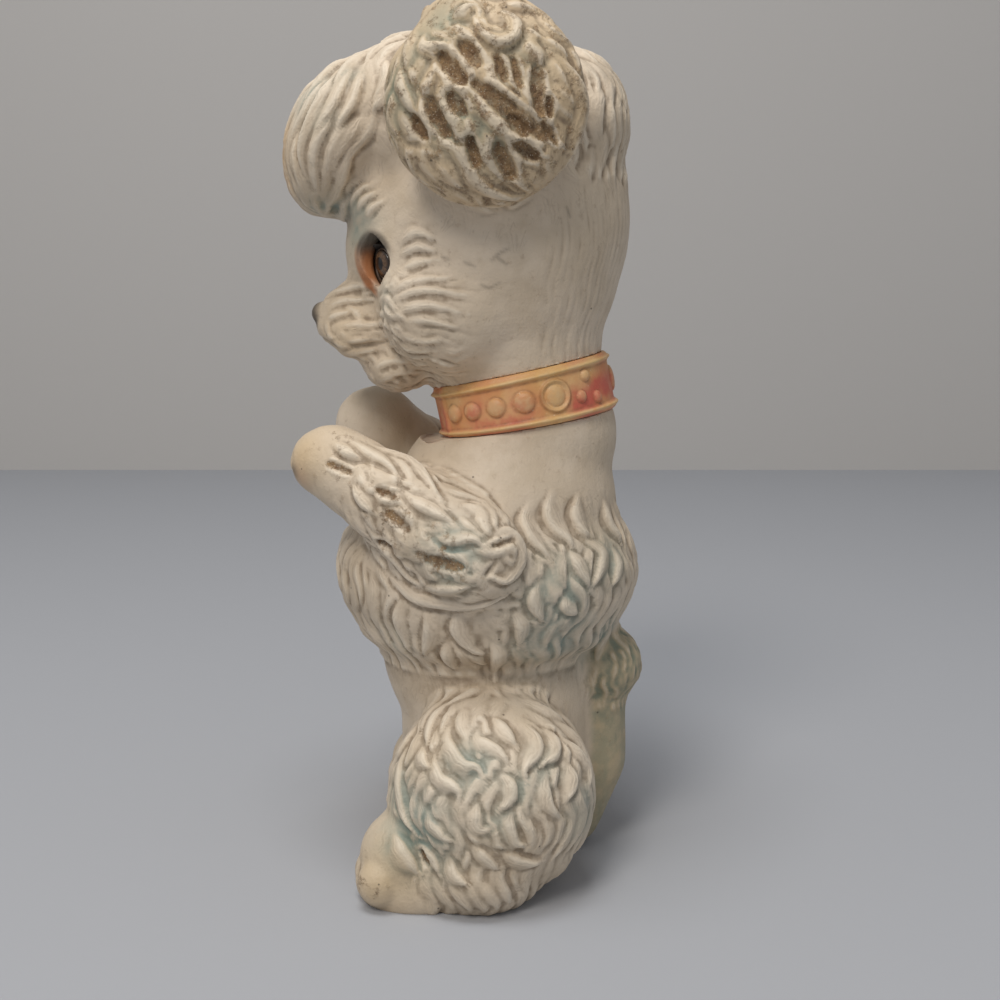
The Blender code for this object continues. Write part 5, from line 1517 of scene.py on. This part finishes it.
def rubber_material():
    """Matte latex rubber that has yellowed: pale rubbed ridges, dirty hollows, painted shade, airbrushed
    green, residue.
    """
    finish = Finish("aged_cream_rubber")
    add, patches = finish.add, finish.patches
    field = finish.fields("cavity", *PAINT_FIELDS)
    hollow = field["cavity"]
    # slow drifts of colour, as old latex yellows unevenly
    base = add("mix", patches(26, 0.35, 0.65), "#D6C6B0", "#C9B8A0")
    base = add("mix", patches(6, 0.45, 0.75, 0, 0.35, detail=4), base, "#B8A68C")
    base = add("mix", field["warm"], base, "#C2A577")
    # rubbed ridges are paler than the rest
    base = add("mix", add("span", hollow, -0.1, -0.9, 0, 0.5), base, "#E4D8C4")
    # dirt in the hollows of the relief, which also lays the painted shade on the fur and round the waist
    dirt = add("product", add("span", hollow, 0, 0.85, 0, 0.85), patches(3, 0.3, 0.7, 0.45, 1, detail=4))
    base = add("mix", dirt, base, "#83705A")
    # fine strands run along each lock, and their grooves hold a little dirt
    wandering = add("sum", field["strand"], patches(4.5, 0.2, 0.8, -0.9, 0.9, detail=1))
    strands = add("sine", add("product", wandering, 2 * math.pi / STRAND_GAP))
    combed = add("product", field["comb"], patches(4, 0.35, 0.65, 0.25, 1, detail=2))
    strands = add("product", strands, combed)
    base = add("mix", add("span", strands, -0.1, -0.9, 0, 0.16), base, "#8B7A64")
    # blue-green airbrush, stronger in the hollows
    spray = add("product", field["airbrush"], add("span", hollow, -0.6, 0.5, 0.3, 1))
    spray = add("product", spray, patches(5, 0.3, 0.62, 0.5, 0.95, detail=4), use_clamp=True)
    base = add("mix", spray, base, add("mix", field["warm"], "#7C8E86", "#7B7A5C"))
    base = add("mix", field["stain"], base, "#A5622F")
    # granular residue left in the pits: brown earth with darker lumps, and pale specks for its grains with
    # painted glints
    grain_glints = add("cells", add("place"), 1 / (GRAIN_GLINT * MM))
    earth = add("mix", patches(3.2, 0.36, 0.64, detail=4, rough=0.7), "#735436", "#B08F66")
    earth = add("mix", patches(0.8, 0.5, 0.7, 0, 0.7, rough=0.6), earth, "#503A28")
    earth = add("mix", add("span", grain_glints, 0.05, 0.32, 0.85, 0), earth, "#DCCFB8")
    broken = add("sum", field["grime"], patches(3.4, 0.3, 0.7, -0.6, 0.42, detail=6, rough=0.75))
    residue = add("span", broken, 0.2, 0.9, 0, 0.85)
    base = add("mix", residue, base, earth)
    # dark marks: the painted nose, scratches and paw marks, and painted shade on the upper wall of each eye
    # socket
    base = add("mix", field["dark"], base, "#332C26")
    # small black specks, as on all old rubber
    speck = add("span", add("cells", add("place"), 1 / (SPECK_SPACING * MM)), 0.05, 0.03)
    base = add("mix", add("product", speck, 0.7), base, "#453C32")
    # the tooth of old latex is too fine to show, so it is drawn 0.8 mm wide, and the residue coarser
    height = add("sum", patches(0.8, 0, 1, 0, 0.09), patches(3.5, 0, 1, 0, 0.16, detail=2))
    coarse = add("product", residue, patches(1.1, 0.3, 0.7, 0, 0.45, detail=4, rough=0.7))
    height = add("sum", height, coarse)
    height = add("sum", height, add("product", strands, STRAND_HEIGHT))
    return finish.dress(Base_Color=base, Roughness=patches(4, 0.3, 0.7, 0.5, 0.66, detail=4),
                        Normal=add("bump", 1, MM, height), Specular_IOR_Level=0.4)


rubber = rubber_material()
print("rubber:", len(rubber.node_tree.nodes), "nodes")

# %% Finish the body
FUR_INSET = 0.5
HIP_CUT = 73


def frame_place(x, y, z):
    return ORIGIN + Vector((x, y, z)) * MM


def hand_in(piece, material, body_name, node_name):
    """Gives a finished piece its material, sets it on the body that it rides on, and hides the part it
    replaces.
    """
    piece.data.materials.append(material)
    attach(piece, body_name)
    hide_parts(node_name)
    print(piece.name, "faces", len(piece.data.polygons))


raise_relief(body, FUR_INSET * np.clip(ruff + haunch + any_sleeve + tail, 0, 1))
hip = frame_place(0, 0, HIP_CUT)
for piece in share_out(body, [
    ("fore_skin", [(hip, Vector((0, 0, -1)))]),
    ("hind_skin", [(hip, Vector((0, 0, 1)))]),
]):
    hand_in(piece, rubber, "body", "body_shell")

# %% Finish the head
EAR_CUT = 38.5
BACK_CUT = 6
raise_relief(head, FUR_INSET * coat)
at_ear = {side: frame_place(side * EAR_CUT, 0, 0) for side in BOTH_SIDES}
at_back = frame_place(0, BACK_CUT, 0)
middle = [(at_ear[side], Vector((side, 0, 0))) for side in BOTH_SIDES]
for piece in share_out(head, [
    ("face_skin", middle + [(at_back, Vector((0, 1, 0)))]),
    ("nape_skin", middle + [(at_back, Vector((0, -1, 0)))]),
    ("left_ear_skin", [(at_ear[1], Vector((-1, 0, 0)))]),
    ("right_ear_skin", [(at_ear[-1], Vector((1, 0, 0)))]),
]):
    hand_in(piece, rubber, "head", "head_shell")

# %% [markdown]
# ## The collar
# On the toy the collar is a separate ring that hides the joint between head and body. It is a spun band with
# a welt along both edges. The studs grow toward the back, and the largest has a ring moulded round it. A
# dense grid on the outer face lets studs and ring be raised as smooth domes. It is taller at the nape.

# %% Mould the collar
COLLAR_OUTER = COLLAR_INNER + 2.6
COLLAR_EDGE_STEP = 0.3
COLLAR_STEPS = 480
FACE_ROWS = 61
FACE_MARGIN = 0.25
WELT = 1.1
WELT_INSET = 1.35
WELT_WIDTH = 0.72
# each stud's bearing from the throat in degrees, its height above the middle and its width
STUDS = [(38, 0, 5.6), (54, 0, 5.4), (71, 0, 5.6), (89, 0, 6.2), (109, 0, 8.4), (127, -2.0, 3.4),
         (133, 3.4, 3.4), (141, -3.2, 3.4), (180, 0, 7.4)]
RINGED_STUD = 4
STUD_HEIGHT = 1.25
STRAP_END = 28
STRAP_END_HEIGHT = 0.75


def collar_profile():
    """The band's section: a welt at both edges and a flat face, with points close together."""
    welt_at = COLLAR_HALF - WELT_INSET
    face_top = COLLAR_HALF - FACE_MARGIN
    rim = COLLAR_OUTER - COLLAR_EDGE_STEP
    outer = [(COLLAR_OUTER + WELT * math.exp(-((welt_at - abs(height)) / WELT_WIDTH) ** 2), height)
             for height in np.linspace(face_top, -face_top, FACE_ROWS)]
    return ([(COLLAR_INNER, COLLAR_HALF), (rim, COLLAR_HALF)] + outer
            + [(rim, -COLLAR_HALF), (COLLAR_INNER, -COLLAR_HALF), (COLLAR_INNER, COLLAR_HALF)])


def bump_line(value, middle, width):
    """A soft line across a value, 1 in its middle."""
    return np.exp(-((value - middle) / width) ** 2)


collar = spun("collar_band", collar_profile(), COLLAR_STEPS)
band = collar.data
points = read(band.vertices, "co", 3)
radius = np.hypot(points[:, 0], points[:, 1])
bearing = np.degrees(np.arctan2(points[:, 0], -points[:, 1]))
outer_face = radius > COLLAR_OUTER - 0.2
raised, on_stud, edge_line = np.zeros((3, len(points)))
for side in BOTH_SIDES:
    for index, (angle, height, width) in enumerate(STUDS):
        sideways = np.radians((bearing - side * angle + 180) % 360 - 180) * COLLAR_OUTER
        gap = np.hypot(sideways, points[:, 2] - height) / (width / 2)
        dome = STUD_HEIGHT * np.sqrt(np.clip(1 - gap ** 2, 0, 1)) ** 0.9
        if index == RINGED_STUD:
            button = 0.75 * np.sqrt(np.clip(1 - (gap / 0.72) ** 2, 0, 1))
            dome = STUD_HEIGHT * (button + 0.7 * bump_line(gap, 1.0, 0.13))
        raised = np.maximum(raised, dome * outer_face)
        on_stud = np.maximum(on_stud, (1 - ease(gap, 0.8, 1.15)) * outer_face)
        edge_line = np.maximum(edge_line, bump_line(gap, 1.12, 0.12) * outer_face)
    # the end of the strap is a low square bar
    across = np.radians(bearing - side * STRAP_END) * COLLAR_OUTER
    bar = (1 - ease(np.abs(across), 0.7, 1.25)) * outer_face
    raised = np.maximum(raised, STRAP_END_HEIGHT * bar)
welt_height = radius - COLLAR_OUTER
lift = (np.maximum(welt_height, raised) - welt_height) * outer_face
points[:, :2] += points[:, :2] / radius[:, None] * lift[:, None]
band.vertices.foreach_set("co", points.astype(np.float32).ravel())
print("studs stand up to", round(float(lift.max()), 2), "mm high")

# %% Where the collar's paint goes
RED_PATCH = (68, 24)
RED_EVERYWHERE = 0.3
turned_from_throat = np.abs(bearing)
red = bump_line(turned_from_throat, *RED_PATCH) + ease(turned_from_throat, 108, 128) + RED_EVERYWHERE
red = red * (0.4 + 0.6 * (1 - ease(points[:, 2], -1.5, 4.5)))
red = red + 0.6 * (1 - ease(turned_from_throat, 27, 33))
welt_line = bump_line(np.abs(points[:, 2]), COLLAR_HALF - 2.6, 0.4)
store(band, "red", np.clip(red, 0, 1))
store(band, "stud", on_stud)
store(band, "welt", np.clip(welt_height / WELT, 0, 1))
store(band, "line", np.clip(edge_line + welt_line, 0, 1))
print("share of the collar that is red:", round(float(np.clip(red, 0, 1).mean()), 2))

# %% Fit the collar to the neck
LIP_CLEARANCE = 0.15
for vertex in band.vertices:
    reach = math.hypot(vertex.co.x, vertex.co.y)
    if reach < COLLAR_OUTER - 0.2 and vertex.co.z > COLLAR_HALF - 0.1:
        vertex.co.z = HEAD_FOOT - LIP_CLEARANCE
    else:
        growth = COLLAR_TOP_GROWTH if vertex.co.z > 0 else NAPE_GROWTH
        vertex.co.z *= 1 + growth * vertex.co.y / reach


def in_frame(obj, place):
    """Takes a piece made about its own axis to its place in the frame."""
    obj.data.transform(Matrix.Translation(ORIGIN) @ Matrix.Scale(MM, 4) @ place)
    obj.data.shade_smooth()
    return obj


heights = [vertex.co.z for vertex in band.vertices]
print("collar from", round(min(heights), 2), "to", round(max(heights), 2), "mm about the joint")
in_frame(collar, NECK_PLACE)

# %% [markdown]
# ### Painted collar rubber
# The same rubber under hand paint: ochre yellow, pink-red sprayed along the middle, both worn pale where
# studs and welts stand proud. The paint is a little glossier than bare latex.

# %% Painted collar rubber
def collar_material():
    """Yellow ochre paint with pink-red sprayed over the middle, worn pale on studs and welts."""
    finish = Finish("painted_collar_rubber")
    add, patches = finish.add, finish.patches
    field = finish.fields("red", "stud", "welt", "line")
    base = add("mix", patches(9, 0.35, 0.65), "#DCAE6C", "#E6C386")
    red = add("product", field["red"], patches(8, 0.3, 0.66, 0.4, 1))
    red = add("product", red, add("span", field["welt"], 0.2, 0.9, 1, 0.25))
    base = add("mix", add("product", red, 0.9), base, "#C65449")
    base = add("mix", add("product", field["stud"], patches(2.2, 0.3, 0.7, 0.1, 0.65)), base, "#D6B486")
    base = add("mix", add("product", field["welt"], patches(4, 0.35, 0.65, 0, 0.6)), base, "#DDBF92")
    dirt = add("product", field["line"], patches(3, 0.3, 0.7, 0.15, 0.6, detail=4))
    base = add("mix", dirt, base, "#8A5A3A")
    # paint flakes off in tiny spots
    base = add("mix", patches(0.9, 0.72, 0.78, 0, 0.6, detail=2, rough=0.4), base, "#E6D3B4")
    # the same tooth as on the skin, filled a little by the paint
    height = add("sum", patches(0.7, 0, 1, 0, 0.08), patches(3, 0, 1, 0, 0.12, detail=2))
    return finish.dress(Base_Color=base, Roughness=patches(4, 0.3, 0.7, 0.42, 0.58),
                        Normal=add("bump", 1, MM, height))


hand_in(collar, collar_material(), "body", "collar")

# %% [markdown]
# ## Sleep eyes
# Each eye is a plastic ball on a pin with a weight behind it, so that it closes when the toy lies down. The
# iris is a separate dish set in the ball, and a fringe of dark lashes is glued along the lid line. Balls,
# dishes and cases are spun. The strip that holds the lashes is a small circle spun about the ball's middle.

# %% Model the eyes
IRIS_RADIUS = 3.9
IRIS_DEPTH = 1.0
IRIS_GAP = 0.12
IRIS_DROOP = Matrix.Rotation(math.radians(6), 4, "X")
IRIS_ANGLE = math.asin(IRIS_RADIUS / EYE_BALL_RADIUS)
IRIS_FLOOR = EYE_BALL_RADIUS * math.cos(IRIS_ANGLE) - IRIS_DEPTH
CASE_INNER = 7.2
CASE_OPENING = 6.0
CASE_BACK = math.radians(112)


def make_ball(side, name):
    rim = arc(EYE_BALL_RADIUS, IRIS_ANGLE + math.radians(1.5), math.pi, 48)
    ball = spun(name, [(0, IRIS_FLOOR), (IRIS_RADIUS + IRIS_GAP, IRIS_FLOOR)] + rim, 72)
    own = read(ball.data.vertices, "co", 3)
    store(ball.data, "lid", own[:, 1] / EYE_BALL_RADIUS)
    return in_frame(ball, eye_place(side) @ IRIS_DROOP)


def make_iris(side, name):
    dome = [(reach, height - 0.02) for reach, height in arc(EYE_BALL_RADIUS, IRIS_ANGLE, 0, 12)]
    iris = spun(name, [(0, IRIS_FLOOR + 0.1), (IRIS_RADIUS - 0.02, IRIS_FLOOR + 0.1)] + dome, 96)
    own = read(iris.data.vertices, "co", 3)
    angle = np.arctan2(own[:, 1], own[:, 0])
    store(iris.data, "ring", np.hypot(own[:, 0], own[:, 1]) / IRIS_RADIUS)
    store(iris.data, "spoke_x", np.cos(angle))
    store(iris.data, "spoke_y", np.sin(angle))
    return in_frame(iris, eye_place(side) @ IRIS_DROOP)


def make_case(side, name):
    opening = math.asin(CASE_OPENING / CASE_INNER)
    inside = arc(CASE_INNER, opening, CASE_BACK, 32)
    outside = arc(CASE_RADIUS, CASE_BACK, opening, 32)
    return in_frame(spun(name, inside + outside + inside[:1], 72), eye_place(side))


# %% Glue on the lashes
LASH_LIFT = Matrix.Rotation(math.radians(-38), 4, "X")
LASH_SPREAD = math.radians(64)
LASH_COUNT = 19
LASH_LENGTH = 2.7
LASH_RADII = (0.22, 0.06)
LASH_RISE = Matrix.Rotation(math.radians(20), 4, "X")
STRIP_RADIUS = 0.42
STRIP_SEAT = EYE_BALL_RADIUS - 0.25
STRIP_STEPS = 18


def make_lashes(side, name):
    """A thin strip along the lid with its ends closed, and lashes that fan out from it."""
    bm = bmesh.new()
    on_ball = Matrix.Translation((0, 0, STRIP_SEAT))
    first = LASH_LIFT @ Matrix.Rotation(-LASH_SPREAD / 2, 4, "Y") @ on_ball
    ring = bmesh.ops.create_circle(bm, segments=10, radius=STRIP_RADIUS,
                                   matrix=first @ Matrix.Rotation(math.pi / 2, 4, "Y"))["verts"]
    edges = list({edge for vertex in ring for edge in vertex.link_edges})
    bmesh.ops.spin(bm, geom=ring + edges, cent=(0, 0, 0), axis=LASH_LIFT @ Vector((0, 1, 0)),
                   angle=LASH_SPREAD, steps=STRIP_STEPS)
    bmesh.ops.holes_fill(bm, edges=[edge for edge in bm.edges if edge.is_boundary], sides=0)
    for index in range(LASH_COUNT):
        along = index / (LASH_COUNT - 1) - 0.5
        turn = LASH_LIFT @ Matrix.Rotation(LASH_SPREAD * along * 0.94, 4, "Y")
        length = LASH_LENGTH * (1 - 0.5 * abs(along))
        fan = Matrix.Rotation(along * 0.5, 4, "Y") @ Matrix.Translation((0, 0, length / 2))
        bmesh.ops.create_cone(bm, cap_ends=True, segments=6, radius1=LASH_RADII[0], radius2=LASH_RADII[1],
                              depth=length, matrix=turn @ on_ball @ LASH_RISE @ fan)
    return in_frame(put(name, bm), eye_place(side))


# %% [markdown]
# ### Eye plastics and metals
# The balls are polystyrene gone ivory grey, browned at the lid and darkened at the top with painted shade,
# under the gloss of a moulded surface. The irises are amber plastic with dark spokes. Lashes, cases and
# metals have two close tones and uneven gloss.

# %% Eye and metal materials
def eyeball_material():
    """Aged ivory-grey plastic, browned at the lid line, with painted shade darkening its top."""
    finish = Finish("aged_eye_plastic")
    add, patches = finish.add, finish.patches
    lid = finish.fields("lid")["lid"]
    base = add("mix", patches(2.5, 0.35, 0.65, detail=4), "#8C7C6B", "#736352")
    # the upper part, the lid, is darkened further with painted shade from the brow and lashes above it
    base = add("mix", add("span", lid, 0.1, 0.75, 0, 0.8), base, "#3F332A")
    base = add("mix", add("span", lid, -0.35, -0.85, 0, 0.6), base, "#6E4B33")
    return finish.dress(Base_Color=base, Roughness=patches(1.5, 0.3, 0.7, 0.22, 0.4), Coat_Weight=0.4)


def iris_material():
    """Amber plastic with dark spokes under a glossy dome, a black pupil and a dark rim."""
    finish = Finish("amber_iris_plastic")
    add = finish.add
    field = finish.fields("ring", "spoke_x", "spoke_y")
    spokes = add("vector", field["spoke_x"], field["spoke_y"], add("product", field["ring"], 0.35))
    base = add("mix", add("span", add("noise", spokes, 9.0, 4.0, 0.65), 0.35, 0.68), "#46352A", "#775B40")
    base = add("mix", add("span", field["ring"], 0.72, 0.98), base, "#2A2019")
    base = add("mix", add("span", field["ring"], 0.52, 0.44), base, "#15100D")
    return finish.dress(Base_Color=base, Roughness=0.24, Coat_Weight=0.2)


def speckled_material(name, first, second, size_mm, metallic, roughness, bump_mm=0.03):
    """A finish of two close tones in small patches, with uneven gloss and a fine bump."""
    finish = Finish(name)
    add, patches = finish.add, finish.patches
    bump = add("bump", 1, MM, patches(size_mm / 3, 0, 1, 0, bump_mm))
    gloss = patches(size_mm, 0.3, 0.7, roughness - 0.08, roughness + 0.08)
    return finish.dress(Base_Color=add("mix", patches(size_mm, 0.35, 0.65, detail=4), first, second),
                        Metallic=metallic, Roughness=gloss, Normal=bump)


# each part of an eye: its name, what makes it, its material and its slot
EYE_PARTS = [
    ("ball", make_ball, eyeball_material(), "eye_plastic"),
    ("iris", make_iris, iris_material(), "iris_plastic"),
    ("lashes", make_lashes, speckled_material("lash_fibre", "#14100D", "#2A211A", 0.6, 0, 0.7), "lash_fibre"),
    ("case", make_case, speckled_material("dark_case_plastic", "#4A3A2E", "#5E4A3A", 1.5, 0, 0.5),
     "eye_case_plastic"),
]
for side, eye in ((1, "left_eye"), (-1, "right_eye")):
    for part, make, material, slot_name in EYE_PARTS:
        rides = "head" if part == "case" else eye
        hand_in(make(side, f"{eye}_{part}_fine"), material, rides, f"{eye}_{part}")

# %% [markdown]
# ## Pins, weights and squeaker
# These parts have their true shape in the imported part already. They only get their metal finishes: bright
# pins, dull lead, a tinned can that has lost its shine, and a brass reed.

# %% Finish the carried metal parts
# a node takes the last of the finishes whose key is in its name
METALS = {
    "pin": speckled_material("pin_steel", "#A7A7A5", "#8E8D8A", 1.2, 1, 0.3),
    "weight": speckled_material("dull_lead", "#5C5E60", "#76787A", 2.0, 0.9, 0.55, 0.08),
    "squeaker": speckled_material("tinned_steel", "#9A9892", "#7F7B73", 3.0, 1, 0.4, 0.05),
    "reed": speckled_material("brass_reed", "#B08D4E", "#96733A", 1.5, 1, 0.35),
}
for node_name, node in frame["nodes"].items():
    finishes = [metal for key, metal in METALS.items() if key in node_name]
    if finishes:
        for place in node.material_slots:
            place.material = finishes[-1]
        print(node_name, "is", finishes[-1].name)

# %% [markdown]
# ## The stage
# A pale floor and a plain wall behind the toy. One soft lamp stands high on the camera's side, a little
# toward the toy's front, a larger one hangs overhead, and the even light of a bright room keeps the shadows
# weak.

# %% Floor, wall and lamps
WALL_X = -0.927
STAGE_HALF = 3
TOY_MIDDLE = Vector((0, 0, 0.13))


def stage_plane(name, corners, colour):
    bm = bmesh.new()
    bmesh.ops.create_grid(bm, x_segments=1, y_segments=1, size=1.0)
    for vertex, corner in zip(bm.verts, corners):
        vertex.co = corner
    plane = put(name, bm)
    paint = Finish(name + "_paint").dress(Base_Color=colour, Roughness=0.75, Specular_IOR_Level=0.2)
    plane.data.materials.append(paint)


def lamp(name, place, size, watts, colour):
    light = bpy.data.lights.new(name, "AREA")
    light.shape = "DISK"
    light.size = size
    light.energy = watts
    light.color = srgb(colour)[:3]
    obj = link(name, light)
    obj.location = place
    obj.rotation_euler = (TOY_MIDDLE - Vector(place)).to_track_quat("-Z", "Y").to_euler()


near, far = -STAGE_HALF, STAGE_HALF
stage_plane("floor", [(WALL_X, near, 0), (far, near, 0), (WALL_X, far, 0), (far, far, 0)], "#A8AAAE")
stage_plane("wall", [(WALL_X, near, 0), (WALL_X, far, 0), (WALL_X, near, far), (WALL_X, far, far)], "#BDBAB6")
lamp("window", (0.9, -0.35, 1.1), 0.45, 8.0, "#FFF8F0")
lamp("ceiling", (0.3, -0.15, 1.5), 0.6, 9.5, "#FFFFFF")
world = bpy.data.worlds.new("room")
bpy.context.scene.world = world
world.use_nodes = True
room_light = world.node_tree.nodes["Background"].inputs
room_light["Color"].default_value = srgb("#C9CBD0")
room_light["Strength"].default_value = 0.65
bpy.context.scene.view_settings.view_transform = "Standard"
